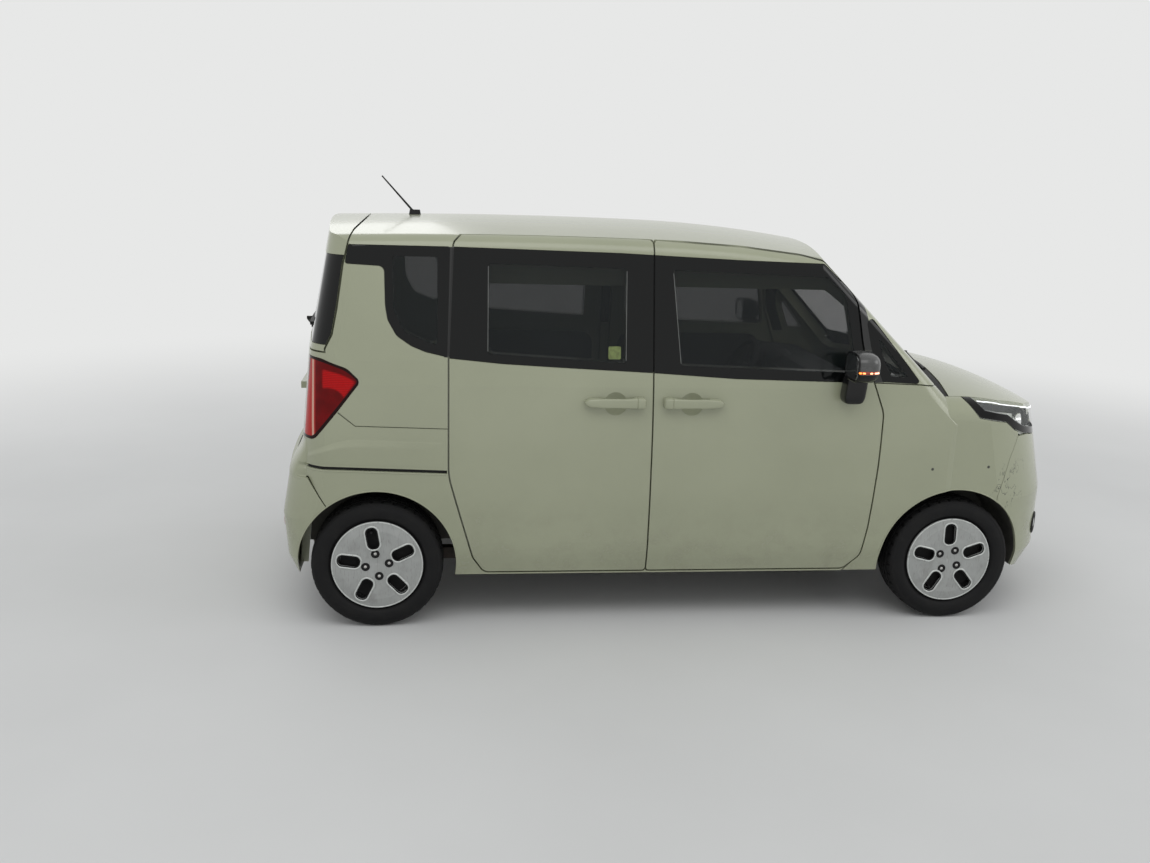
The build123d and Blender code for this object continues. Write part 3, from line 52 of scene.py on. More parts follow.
WHEEL_Z, TRACK_HALF = 0.277, 0.694
UP = (0, 0, 1)
MATS = {}


# Materials
def toned(colour, share):
    """A colour made darker or lighter."""
    return tuple(min(c * share, 1) for c in colour)


class Graph:
    """A node tree and the few kinds of node that the looks are made of."""

    def __init__(self, tree, shader):
        self.tree, self.shader = tree, tree.nodes[shader]

    def put(self, node, key, value):
        """Fills a node's input with another node's output, a colour or a plain value."""
        socket = node.inputs[key]
        if isinstance(value, bpy.types.NodeSocket):
            self.tree.links.new(value, socket)
        else:
            socket.default_value = (*value, 1) if socket.type == "RGBA" else value

    def set(self, key, value):
        self.put(self.shader, key, value)

    def new(self, kind, inputs, **values):
        node = self.tree.nodes.new("ShaderNode" + kind)
        for key, value in values.items():
            setattr(node, key, value)
        for key, value in inputs.items():
            self.put(node, key, value)
        return node

    def coords(self, scale=(1, 1, 1)):
        place = self.new("TexCoord", {}).outputs["Object"]
        return self.new("Mapping", {"Vector": place, "Scale": scale}).outputs["Vector"]

    def split(self):
        return self.new("SeparateXYZ", {"Vector": self.place}).outputs

    def noise(self, scale, detail=4, rough=0.55, place=None):
        inputs = {"Vector": place or self.place, "Scale": scale, "Detail": detail, "Roughness": rough}
        return self.new("TexNoise", inputs).outputs["Fac"]

    def ramp(self, value, *stops):
        """Colours at two or more places between 0 and 1."""
        node = self.new("ValToRGB", {"Fac": value})
        elements = node.color_ramp.elements
        while len(elements) < len(stops):
            elements.new(0.5)
        for element, (place, colour) in zip(elements, stops):
            element.position = place
            element.color = (*colour, 1)
        return node.outputs["Color"]

    def limited(self, value, low, high, out_low=0, out_high=1):
        """A value between two limits turned into another range and kept in it."""
        inputs = {"Value": value, "From Min": low, "From Max": high, "To Min": out_low, "To Max": out_high}
        return self.new("MapRange", inputs, clamp=True).outputs["Result"]

    def mix(self, share, first, second):
        return self.new("Mix", {0: share, 6: first, 7: second}, data_type="RGBA").outputs[2]

    def maths(self, kind, *terms):
        return self.new("Math", dict(enumerate(terms)), operation=kind).outputs[0]

    def times(self, *values):
        return reduce(lambda first, other: self.maths("MULTIPLY", first, other), values)

    def most(self, *values):
        return reduce(lambda first, other: self.maths("MAXIMUM", first, other), values)

    def size(self, value):
        return self.maths("ABSOLUTE", value)

    def away(self, x, z, at_x, at_z):
        """Square of the distance from a spot."""
        squares = [self.maths("POWER", self.maths("SUBTRACT", value, at), 2) for value, at in ((x, at_x), (z, at_z))]
        return self.maths("ADD", *squares)

    def inside(self, across, height, outline, round_off=0.02, soft=0.001):
        """1 inside a convex outline, taken counter-clockwise, and 0 outside it."""
        nearest = None
        for (x0, z0), (x1, z1) in zip(outline, outline[1:] + outline[:1]):
            length = hypot(x1 - x0, z1 - z0)
            a, b = (z0 - z1) / length, (x1 - x0) / length
            far = self.maths("MULTIPLY_ADD", height, b, -(x0 * a + z0 * b))
            far = self.maths("MULTIPLY_ADD", across, a, far)
            nearest = far if nearest is None else self.maths("SMOOTH_MIN", nearest, far, round_off)
        return self.limited(nearest, -soft, soft)

    def inside_any(self, across, height, outlines, *softness):
        return self.most(*[self.inside(across, height, outline, *softness) for outline in outlines])

    def bump(self, height, strength, distance):
        node = self.new("Bump", {"Height": height, "Strength": strength, "Distance": distance})
        self.set("Normal", node.outputs["Normal"])

    def blend(self, share, first, second, output):
        """Two shaders mixed and sent to the tree's output."""
        mixed = self.new("MixShader", {0: share, 1: first.outputs[0], 2: second.outputs[0]})
        self.put(self.tree.nodes[output], "Surface", mixed.outputs[0])


class Look(Graph):
    """A new material, kept in MATS under its name."""

    def __init__(self, name, colour, rough, metal=0, coat=0, specular=0.5):
        mat = MATS[name] = bpy.data.materials.new(name)
        mat.use_nodes = True
        super().__init__(mat.node_tree, "Principled BSDF")
        self.set("Base Color", colour)
        self.set("Roughness", rough)
        self.set("Metallic", metal)
        self.set("Coat Weight", coat)
        self.set("Coat Roughness", 0.04)
        self.set("Specular IOR Level", specular)
        self.place = self.coords()


def simple(name, colour, rough, spread, scale, metal=0, coat=0, grain=0, grain_scale=400,
           specular=0.5):
    """A plain surface with uneven tone, uneven gloss and, where it has one, a fine grain."""
    look = Look(name, colour, rough, metal, coat, specular)
    clouds = look.noise(scale)
    look.set("Base Color", look.ramp(clouds, (0.3, toned(colour, 1 - spread)), (0.7, toned(colour, 1 + spread))))
    look.set("Roughness", look.limited(clouds, 0.3, 0.7, max(rough - 0.06, 0.02), min(rough + 0.08, 1)))
    if grain:
        look.bump(look.noise(grain_scale, 2), grain, 0.0006)


# Outlines on the side of the car, as X and Z
SCUFFED = [(1.3, 0.5), (1.46, 0.56), (1.47, 0.72), (1.36, 0.72), (1.3, 0.6)]
CHIPS = [(1.018, 0.704), (1.278, 0.712)]
FRAME_FILM = [
    [(-0.246, 1.1125), (-0.206, 1.111), (-0.21, 1.587), (-0.25, 1.587)],
    [(-1.092, 1.164), (-1.052, 1.161), (-1.048, 1.601), (-1.088, 1.601)],
    [(0.72, 1.081), (0.772, 1.081), (0.718, 1.215), (0.66, 1.215)],
    [(0.66, 1.2145), (0.718, 1.2145), (0.684, 1.402), (0.63, 1.45)],
]
SIDE_LIGHTS = [
    [(-0.112, 1.14), (0.655, 1.118), (0.64, 1.2), (0.6, 1.44), (0.52, 1.512), (-0.15, 1.528)],
    [(-0.915, 1.18), (-0.344, 1.148), (-0.344, 1.53), (-0.915, 1.538)],
    [(-1.12, 1.21), (-1.12, 1.56), (-1.3, 1.56), (-1.296, 1.35), (-1.25, 1.26)],
    [(0.8, 1.105), (0.88, 1.102), (0.74, 1.272), (0.752, 1.214)],
]
LENS_CLEAR = [
    [(1.238, 0.962), (1.372, 0.936), (1.9, 0.936), (1.9, 1.2), (1.16, 1.2), (1.158, 1.046)],
    [(1.35, 0.942), (1.43, 0.892), (1.48, 0.872), (1.645, 0.83), (1.9, 0.83), (1.9, 1), (1.35, 1)],
]
RED_FACE = [(-1.85, 0.83), (-1.618, 0.835), (-1.529, 0.944), (-1.436, 1.063), (-1.484, 1.106), (-1.587, 1.141),
            (-1.85, 1.155)]
RED_CHAMBER = [(-1.5, 0.99), (-1.447, 1.062), (-1.5, 1.092), (-1.578, 1.108), (-1.578, 1.03)]
# Outlines on the ends of the car, as Y and Z
SCREEN_LIGHT = [[(-0.635, 1.105), (0.635, 1.105), (0.545, 1.6), (-0.545, 1.6)]]
TAIL_LIGHT = [[(-0.555, 1.24), (0.555, 1.24), (0.535, 1.525), (-0.535, 1.525)]]


def body_paint():
    """Grey-green paint: fine orange peel, road dirt low down, scuffs at the right front corner, black frame film."""
    look = Look("body_paint", (0.315, 0.333, 0.232), 0.22, coat=0.3)
    look.set("Coat Roughness", 0.1)
    x, y, z = look.split()
    base = look.ramp(look.noise(2.2, 5), (0.3, (0.303, 0.32, 0.222)), (0.7, (0.328, 0.345, 0.241)))
    blotch = look.limited(look.noise(9, 6, 0.65), 0.45, 0.75)
    specks = look.limited(look.noise(160, 3), 0.64, 0.7)
    dirt = look.times(look.most(blotch, specks), look.times(look.limited(z, 0.62, 0.23), 0.4))
    right_side = look.limited(y, -0.5, -0.55)
    wander = look.noise(11, 4, 0.62, look.coords((1, 1, 0.5)))
    crack = look.limited(look.size(look.maths("SUBTRACT", wander, 0.5)), 0.006, 0.002)
    crack = look.times(crack, look.times(look.inside(x, z, SCUFFED, 0.06, 0.03), right_side))
    chips = look.most(*[look.limited(look.away(x, z, *spot), 0.00006, 0.00002) for spot in CHIPS])
    marks = look.most(crack, look.times(chips, right_side))
    film = look.times(look.inside_any(x, z, FRAME_FILM, 0.001), look.limited(look.size(y), 0.58, 0.59))
    worn = look.mix(film, look.mix(dirt, base, (0.17, 0.155, 0.115)), (0.004, 0.0045, 0.0045))
    look.set("Base Color", look.mix(marks, worn, (0.035, 0.034, 0.03)))
    look.set("Roughness", look.maths("MULTIPLY_ADD", dirt, 0.5, 0.22))
    peel = look.noise(350, 1)
    look.bump(look.maths("SUBTRACT", peel, look.times(marks, 3)), 0.05, 0.0004)


def pane_glass(name, tint, clear, outlines, sideways=True):
    """Tinted glass that shows the cabin inside its daylight outlines and is black around them."""
    look = Look(name, tint, 0.03, specular=0.28)
    x, y, z = look.split()
    day = look.inside_any(x if sideways else y, z, outlines)
    haze = look.noise(2.5, 5)
    dust = tuple(c * 1.7 + 0.002 for c in tint)
    look.set("Base Color", look.mix(day, (0.0025, 0.003, 0.003), look.ramp(haze, (0.3, tint), (0.75, dust))))
    look.set("Roughness", look.limited(haze, 0.3, 0.75, 0.02, 0.06))
    look.set("Alpha", clear)
    look.set("Alpha", look.maths("MULTIPLY_ADD", day, clear - 1, 1))


def lens_cover():
    """Clear lamp cover with a black band along its lower edge."""
    look = Look("lamp_clear", (0.75, 0.78, 0.77), 0.03, specular=0.22)
    x, y, z = look.split()
    clear = look.inside_any(x, z, LENS_CLEAR, 0.004)
    dust = look.limited(look.noise(30, 5), 0.4, 0.8, 0, 0.15)
    look.set("Base Color", look.mix(clear, (0.004, 0.004, 0.004), (0.75, 0.78, 0.77)))
    look.set("Roughness", look.maths("ADD", dust, 0.03))
    look.set("Alpha", look.maths("MULTIPLY_ADD", clear, -0.92, 1))


def lamp_inside():
    """Pale moulding inside the head lamps, black at its inner end beside the bar."""
    look = Look("lamp_housing", (0.66, 0.69, 0.63), 0.28, 0.25)
    clouds = look.noise(30)
    pale = look.ramp(clouds, (0.3, (0.58, 0.61, 0.555)), (0.7, (0.74, 0.77, 0.705)))
    inner = look.limited(look.size(look.split()[1]), 0.45, 0.446)
    look.set("Base Color", look.mix(inner, pale, (0.006, 0.006, 0.006)))
    look.set("Roughness", look.limited(clouds, 0.3, 0.7, 0.22, 0.36))


def glow(name, colour, strength, ahead=None):
    """A lit diode behind a small ribbed cover, in a row that can pale towards the front."""
    look = Look(name, colour, 0.15)
    cells = look.noise(120, 2)
    look.set("Base Color", look.ramp(cells, (0.3, toned(colour, 0.8)), (0.7, colour)))
    look.set("Emission Color", colour)
    if ahead:
        front = look.limited(look.split()[0], 0.575, 0.655)
        look.set("Emission Color", look.mix(front, colour, ahead))
    look.set("Emission Strength", strength)
    look.bump(cells, 0.1, 0.0004)


def rubber():
    """Tyre rubber, a little grey with dust in the grooves and on the walls."""
    look = Look("tyre", (0.008, 0.008, 0.0083), 0.72, specular=0.22)
    dust = look.limited(look.noise(14, 6, 0.7), 0.45, 0.8, 0, 0.35)
    look.set("Base Color", look.mix(dust, (0.0065, 0.0065, 0.007), (0.03, 0.029, 0.026)))
    look.set("Roughness", look.maths("MULTIPLY_ADD", dust, 0.5, 0.66))
    look.bump(look.noise(260, 3), 0.25, 0.0006)


def wheel_paint():
    """Silver painted wheel covers with brake dust and rub marks, painted black as shade where the wheel lies behind
    them.
    """
    look = Look("wheel_silver", (0.42, 0.43, 0.43), 0.38, 0.25)
    cloud = look.noise(9, 6, 0.6)
    scratch = look.limited(look.noise(1, 5, place=look.coords((260, 18, 30))), 0.56, 0.66)
    base = look.ramp(cloud, (0.25, (0.25, 0.25, 0.24)), (0.45, (0.34, 0.35, 0.34)), (0.75, (0.4, 0.41, 0.4)))
    # The wheel's inner parts, slot walls included, are painted black as shade
    behind = look.limited(look.size(look.split()[1]), 0.7662, 0.7652)
    face = look.mix(look.times(scratch, 0.4), base, (0.16, 0.15, 0.14))
    look.set("Base Color", look.mix(behind, face, (0.008, 0.008, 0.008)))
    look.set("Roughness", look.limited(cloud, 0.3, 0.7, 0.55, 0.35))
    look.bump(scratch, 0.2, 0.0005)


def fabric():
    """Woven seat cloth."""
    colour, threads = (0.035, 0.035, 0.038), 900
    look = Look("seat_fabric", colour, 0.9)
    x, y, z = look.split()
    warp = look.maths("SINE", look.times(y, threads))
    weft = look.maths("SINE", look.times(look.maths("ADD", x, z), threads))
    cloud = look.noise(12, 5)
    look.set("Base Color", look.ramp(cloud, (0.3, toned(colour, 0.75)), (0.7, toned(colour, 1.25))))
    look.set("Sheen Weight", 0.3)
    look.bump(look.times(warp, weft), 0.35, 0.0006)


def lamp_red():
    """Red lamp: deep red cover, a brighter upper chamber, a pale strip at the rear, a black rim."""
    look = Look("lamp_red", (0.16, 0.002, 0.003), 0.06, specular=0.14)
    x, y, z = look.split()
    out = look.size(y)
    deep = look.ramp(look.noise(18), (0.3, (0.095, 0.0008, 0.001)), (0.7, (0.15, 0.001, 0.002)))
    bowl = look.limited(look.away(x, z, -1.555, 0.965), 0.0046, 0.0056)
    chamber = look.times(look.inside(x, z, RED_CHAMBER, 0.02, 0.004), bowl)
    ribs = look.maths("SINE", look.times(z, 900))
    bright = look.ramp(ribs, (0, (0.34, 0.003, 0.004)), (1, (0.5, 0.006, 0.007)))
    strip = look.times(look.limited(x, -1.606, -1.613), look.limited(z, 1.145, 1.138),
                       look.limited(out, 0.684, 0.692))
    clear_low = look.times(look.limited(x, -1.6, -1.61), look.limited(out, 0.678, 0.672),
                           look.times(look.limited(z, 0.86, 0.864), look.limited(z, 0.934, 0.93)))
    line = look.times(look.limited(look.size(look.maths("ADD", x, 1.619)), 0.0055, 0.0035), strip)
    base = look.mix(chamber, deep, bright)
    base = look.mix(strip, base, (0.4, 0.018, 0.016))
    base = look.mix(line, base, (0.58, 0.34, 0.26))
    base = look.mix(clear_low, base, (0.55, 0.52, 0.5))
    face = look.inside(x, z, RED_FACE, 0.02, 0.0008)
    look.set("Base Color", look.mix(face, (0.012, 0.002, 0.002), base))
    look.bump(ribs, 0.05, 0.0006)


# The slots that the record names
body_paint()
simple("black_trim", (0.01, 0.01, 0.01), 0.62, 0.3, 30, grain=0.25, specular=0.3)
simple("gloss_black", (0.006, 0.006, 0.006), 0.22, 0.3, 20, coat=0.12, specular=0.3)
pane_glass("dark_glass", (0.005, 0.007, 0.0075), 0.56, SIDE_LIGHTS)
lens_cover()
lamp_inside()
lamp_red()
rubber()
wheel_paint()
simple("iron", (0.055, 0.045, 0.038), 0.7, 0.4, 25, metal=0.5, grain=0.4, grain_scale=180)
simple("underbody", (0.06, 0.058, 0.05), 0.75, 0.35, 12, grain=0.3, grain_scale=220)
simple("tank_plastic", (0.02, 0.02, 0.02), 0.55, 0.25, 15, grain=0.2)
simple("exhaust_steel", (0.22, 0.19, 0.16), 0.5, 0.4, 18, metal=0.9)
fabric()
simple("cabin_plastic", (0.025, 0.025, 0.026), 0.6, 0.2, 20, grain=0.35, grain_scale=700)
# Finishes of single pieces
pane_glass("screen_glass", (0.008, 0.011, 0.01), 0.2, SCREEN_LIGHT, sideways=False)
pane_glass("tail_glass", (0.005, 0.007, 0.0075), 0.58, TAIL_LIGHT, sideways=False)
# Lighter grey of the slot lips and the cover's edge bead: painted highlight where those edges catch the light
simple("painted_highlight_edge", (0.56, 0.58, 0.56), 0.3, 0.12, 40, metal=0.35)
# Near-black for the sheets of painted shade in the wheels
simple("painted_shade_black", (0.004, 0.004, 0.004), 0.9, 0.3, 30)
simple("nut_steel", (0.55, 0.54, 0.52), 0.28, 0.25, 60, metal=0.85)
simple("cap_grey", (0.055, 0.056, 0.055), 0.25, 0.2, 30, coat=0.4)
simple("mirror_glass", (0.72, 0.74, 0.74), 0.03, 0.03, 12, metal=1)
glow("diode_amber", (1, 0.24, 0.03), 2.6, ahead=(1, 0.62, 0.42))
glow("diode_white", (0.95, 0.97, 1), 0.8)
simple("red_glow", (0.3, 0.03, 0.012), 0.12, 0.2, 60, coat=0.5)
simple("chrome", (0.8, 0.81, 0.8), 0.08, 0.06, 40, metal=1)
simple("plate_white", (0.66, 0.67, 0.65), 0.35, 0.03, 25, coat=0.2)
# Lighter grey of the beads at the panes' daylight edges: painted highlight
simple("painted_highlight_frame", (0.11, 0.115, 0.11), 0.35, 0.2, 60, metal=0.3)
simple("sticker", (0.13, 0.165, 0.05), 0.45, 0.45, 90)
simple("trim_light", (0.06, 0.06, 0.058), 0.65, 0.15, 25, grain=0.3, grain_scale=600)
simple("screen_black", (0.008, 0.009, 0.01), 0.08, 0.2, 12, coat=0.6)

SPECIAL = {"windscreen": "screen_glass", "tailgate_glass": "tail_glass"}


def finish(mesh, material, sharp=32):
    """Gives a mesh its material and smooth faces, with sharp edges above an angle in degrees."""
    mesh.materials.clear()
    mesh.materials.append(MATS[material])
    for face in mesh.polygons:
        face.use_smooth = True
    mesh.set_sharp_from_angle(angle=radians(sharp))


for row in frame["record"]["subparts"]:
    if row["node"] in NODES:
        finish(NODES[row["node"]].data, SPECIAL.get(row["node"], row["material_slot"]))


def linked(name, data):
    obj = bpy.data.objects.new(name, data)
    bpy.context.collection.objects.link(obj)
    return obj


# Mesh helpers: a part is a pair of lists, its points and its faces
def piece(name, part, slot, material=None, body="body", sharp=32):
    """A new mesh piece that rides on a body and takes its finish from a slot or a named material."""
    mesh = bpy.data.meshes.new(name)
    mesh.from_pydata([tuple(v) for v in part[0]], [], part[1])
    mesh.validate()
    bm = bmesh.new()
    bm.from_mesh(mesh)
    bmesh.ops.recalc_face_normals(bm, faces=bm.faces)
    bm.to_mesh(mesh)
    bm.free()
    finish(mesh, material or slot, sharp)
    obj = linked(name, mesh)
    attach(obj, body)
    return obj


def shift(x, y, z):
    return Matrix.Translation((x, y, z))


def spin(degrees, axis):
    return Matrix.Rotation(radians(degrees), 4, axis)


def moved(part, matrix):
    return [matrix @ Vector(v) for v in part[0]], part[1]


def facing(place, normal, upward=UP):
    """A matrix whose Z runs along normal and whose Y is as near upward as it can be."""
    z_axis = Vector(normal).normalized()
    x_axis = Vector(upward).cross(z_axis).normalized()
    y_axis = z_axis.cross(x_axis)
    return Matrix.Translation(place) @ Matrix((x_axis, y_axis, z_axis)).transposed().to_4x4()


def polar(radius, degrees):
    return radius * cos(radians(degrees)), radius * sin(radians(degrees))


def joined(*parts):
    verts, faces = [], []
    for part_verts, part_faces in parts:
        start = len(verts)
        verts += part_verts
        faces += [tuple(start + i for i in face) for face in part_faces]
    return verts, faces


def bands(rings, rows, closed_path=False, closed_section=True):
    """Faces between rings of points. The path from ring to ring and the rings may each be closed."""
    faces = []
    for ring in range(rings if closed_path else rings - 1):
        here, there = ring * rows, (ring + 1) % rings * rows
        for row in range(rows if closed_section else rows - 1):
            above = (row + 1) % rows
            faces.append((here + row, there + row, there + above, here + above))
    return faces


def capped(rings, rows):
    """Faces of a closed form made of rings of points, with its two ends."""
    return bands(rings, rows) + [tuple(range(rows))[::-1], tuple((rings - 1) * rows + i for i in range(rows))]


def turned(profile, steps, radius_at=None, closed=False):
    """A profile of (radius, height) points turned about Z."""
    verts, rows = [], len(profile)
    for step in range(steps):
        for radius, height in profile:
            if radius_at:
                radius = radius_at(radius, height, step)
            verts.append(Vector((*polar(radius, 360 * step / steps), height)))
    faces = bands(steps, rows, True, closed)
    if not closed:
        faces.append(tuple(step * rows for step in range(steps))[::-1])
        faces.append(tuple(step * rows + rows - 1 for step in range(steps)))
    return verts, faces


def middle_of(outline):
    return [sum(point[axis] for point in outline) / len(outline) for axis in (0, 1)]


def prism(outline, low, high, bevel):
    """A flat outline in X and Y between two heights, its edges eased by bevel."""
    cx, cy = middle_of(outline)
    verts = []
    for height, inset in ((low, bevel), (low + bevel, 0), (high - bevel, 0), (high, bevel)):
        for x, y in outline:
            away = hypot(x - cx, y - cy) or 1
            shrink = (away - inset) / away
            verts.append(Vector((cx + (x - cx) * shrink, cy + (y - cy) * shrink, height)))
    return verts, capped(4, len(outline))


def rounded(width, height, radius, steps=5, at=(0, 0)):
    """Corner points of a rounded rectangle about a middle."""
    points = []
    across, up = width / 2 - radius, height / 2 - radius
    for cx, cy, start in ((across, up, 0), (-across, up, 90), (-across, -up, 180), (across, -up, 270)):
        for i in range(steps + 1):
            x, y = polar(radius, start + 90 * i / steps)
            points.append((cx + x + at[0], cy + y + at[1]))
    return points


def swept(path, ups, section, closed=False):
    """A section of (across, up) points carried along a path. Up is one direction or one for each point."""
    path = [Vector(p) for p in path]
    count, rows, verts = len(path), len(section), []
    for i, spot in enumerate(path):
        before = path[i - 1] if closed or i else path[0]
        after = path[(i + 1) % count] if closed or i < count - 1 else path[-1]
        up = Vector(ups[i] if isinstance(ups, list) else ups).normalized()
        across = (after - before).normalized().cross(up).normalized()
        verts += [spot + across * a + up * b for a, b in section]
    return verts, bands(count, rows, True) if closed else capped(count, rows)


def bead(width, height):
    """A half-round section that is sunk a little into what it lies on."""
    arc = [(width / 2 * cos(pi * (1 - i / 6)), height * sin(pi * (1 - i / 6))) for i in range(7)]
    return [(-width / 2, -height * 0.3), *arc, (width / 2, -height * 0.3)]


def bent(value, power):
    """A power that keeps the value's sign."""
    return copysign(abs(value) ** power, value)


def shell_point(u, v, size, power):
    """A point of a squared-off egg: u turns about Z, v rises."""
    bend = 2 / power
    x, y = bent(cos(u), bend) * bent(cos(v), bend), bent(sin(u), bend) * bent(cos(v), bend)
    return Vector((x * size[0], y * size[1], bent(sin(v), bend) * size[2]))


def egg(size, low=-90, high=90, power=3, steps=64, rows=20, shape=None):
    """A squared-off egg between two heights, closed at both."""
    verts = []
    for row in range(rows + 1):
        v = radians(low + (high - low) * row / rows)
        v = min(max(v, radians(-89.5)), radians(89.5))
        for step in range(steps):
            point = shell_point(2 * pi * step / steps, v, size, power)
            verts.append(shape(point) if shape else point)
    return verts, capped(rows + 1, steps)


def egg_at(centre, size, power):
    return moved(egg(size, power=power, steps=40, rows=14), Matrix.Translation(centre))


# Finding places on the CAD surfaces
trees = {}
OUTSIDE_Y, BEHIND_X, BODY_EDGE_Y = 1.2, -2.3, 0.7


def on_surface(nodes, start, direction):
    """Where a ray first meets one of the named CAD nodes, and the surface's normal there, turned to the ray."""
    start, direction = Vector(start), Vector(direction).normalized()
    hits = []
    for node in nodes.split():
        if node not in trees:
            mesh = NODES[node].data
            polygons = [tuple(p.vertices) for p in mesh.polygons]
            trees[node] = BVHTree.FromPolygons([v.co for v in mesh.vertices], polygons)
        place, normal, _, far = trees[node].ray_cast(start, direction)
        if place is not None:
            hits.append((far, place, -normal if normal.dot(direction) > 0 else normal))
    if not hits:
        raise ValueError("no surface of " + nodes + " there")
    return min(hits, key=lambda row: row[0])[1:]


def trail(nodes, starts, direction, least_y=0):
    """Places and normals where a row of rays meets the car, at least so far out from its middle."""
    path, ups = [], []
    for start in starts:
        try:
            place, normal = on_surface(nodes, start, direction)
        except ValueError:
            continue
        if abs(place.y) >= least_y:
            path.append(place)
            ups.append(normal)
    return path, ups


def clad(nodes, outline, far, direction, thick, rings=5):
    """A thin plate that follows the surface below it, its edge eased down. Its rays start from the plane at far."""
    count = len(outline)
    ca, cb = middle_of(outline)
    back = -Vector(direction).normalized()

    def laid(a, b, lift):
        start = (far, a, b) if direction[0] else (a, far, b)
        return on_surface(nodes, start, direction)[0] + back * lift

    verts = [laid(ca, cb, thick)]
    for ring in range(1, rings + 1):
        share = 1 - (1 - ring / rings) ** 1.6
        lift = thick * (1 - share ** 6 * 0.5)
        verts += [laid(ca + (a - ca) * share, cb + (b - cb) * share, lift) for a, b in outline]
    verts += [laid(a, b, 0) for a, b in outline]
    faces = [(0, 1 + i, 1 + (i + 1) % count) for i in range(count)]
    faces += [tuple(1 + i for i in face) for face in bands(rings + 1, count)]
    faces.append(tuple(1 + rings * count + i for i in range(count)))
    return verts, faces


# Tyres with grooved tread and stepped side walls, as (radius, height)
HALF_TYRE = [
    (0.1925, -0.071), (0.1925, -0.077), (0.206, -0.08), (0.216, -0.0812), (0.218, -0.0822), (0.236, -0.0825),
    (0.25, -0.0812), (0.252, -0.08), (0.262, -0.079), (0.2705, -0.072), (0.2735, -0.066), (0.2755, -0.056),
    (0.276, -0.047), (0.2762, -0.0462), (0.269, -0.0455), (0.269, -0.0375), (0.2765, -0.0368), (0.2768, -0.03),
    (0.2769, -0.019), (0.2769, -0.0182), (0.269, -0.0176), (0.269, -0.0096), (0.277, -0.009), (0.277, 0),
]
TYRE_BEAD = [(0.206, 0.076), (0.196, 0.062), (0.1783, 0.06), (0.1783, -0.064)]
TREAD_RADIUS, SHOULDER, MIDDLE_RIB = 0.2725, 0.046, 0.017
SLOT_DEPTH, CUT_DEPTH = 0.0065, 0.003


def at_wheel(axle_x, sign):
    """From a wheel's own frame, with Z outward, to its place on the car."""
    return shift(axle_x, sign * TRACK_HALF, WHEEL_Z) @ spin(-90 * sign, "X")


def tread(radius, height, step):
    """Shoulder slots and staggered cuts in the ribs of the tread."""
    if radius < TREAD_RADIUS:
        return radius
    outer = abs(height) > SHOULDER
    if outer and (step + (3 if height > 0 else 0)) % 6 == 0:
        return radius - SLOT_DEPTH
    if not outer and abs(height) > MIDDLE_RIB and (step + 2) % 5 == 0:
        return radius - CUT_DEPTH
    return radius


tyre_shape = turned(HALF_TYRE + [(r, -h) for r, h in HALF_TYRE[-2:3:-1]] + TYRE_BEAD, 216, tread, closed=True)
for wheel, axle_x, sign in WHEELS:
    tyre = piece("tread_" + wheel, moved(tyre_shape, at_wheel(axle_x, sign)), "tyre", body="wheel_" + wheel)
    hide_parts("tyre_" + wheel)

# Wheel nuts, valves, the covers' lips, and black sheets of painted shade behind the slots, round their edges and round
# the nuts, in the wheel's own frame
TURN = {"front_left": -60, "front_right": -123, "rear_left": -20, "rear_right": 99}
NUT_CIRCLE, SLOT_REACH, COVER_EDGE = 0.05, 0.12, 0.1885
NUT_SPOTS = [polar(NUT_CIRCLE, angle) for angle in (0, 90, 180, 270)]
COVER = [(0, 0.073), (0.07, 0.076), (0.15, 0.081), (0.188, 0.076), (0.193, 0.07)]


def cover_height(radius):
    """Height of the wheel cover's face above the wheel's middle."""
    for (r0, h0), (r1, h1) in zip(COVER, COVER[1:]):
        if radius <= r1:
            return h0 + (h1 - h0) * (radius - r0) / (r1 - r0)
    return COVER[-1][1]


def on_cover(outline, angle, lift):
    """An outline round a slot, laid on the cover."""
    ring = []
    for a, b in outline:
        a += SLOT_REACH
        x, y = a * cos(angle) - b * sin(angle), a * sin(angle) + b * cos(angle)
        ring.append((x, y, cover_height(hypot(x, y)) + lift))
    return ring


nut_cap = turned([(0.0078, 0), (0.007, 0.0028), (0.0045, 0.0048), (0.0005, 0.0055)], 20)
nut = joined(prism([polar(0.0088, 60 * i) for i in range(6)], 0.024, 0.0722, 0.0014),
             moved(nut_cap, shift(0, 0, 0.0718)))
nuts = joined(*[moved(nut, shift(x, y, 0)) for x, y in NUT_SPOTS])
valve = moved(turned([(0.0035, 0), (0.0035, 0.022), (0.0045, 0.0225), (0.0045, 0.034), (0.002, 0.036)], 14),
              shift(0.148, 0, 0.055))
rims, slot_shade_bands = [], []
for slot_index in range(5):
    angle = radians(72 * slot_index)
    # The lips are real beads; their lighter grey is painted highlight
    lips = on_cover(rounded(0.104, 0.059, 0.0265, 6), angle, 0.0006)
    rims.append(swept(lips, UP, bead(0.0075, 0.0034), True))
    # A black band round each slot on the cover's face: painted shade that makes the slot look deeper
    inner = on_cover(rounded(0.089, 0.042, 0.0195, 6), angle, 0.0009)
    outer = on_cover(rounded(0.1025, 0.0575, 0.0258, 6), angle, 0.0018)
    slot_shade_bands.append((inner + outer, bands(2, len(inner))))
edge_path = [(*polar(COVER_EDGE, 4 * i), 0.0758) for i in range(90)]
rims.append(swept(edge_path, UP, bead(0.0055, 0.0022), True))
cover_detail = joined(*rims)
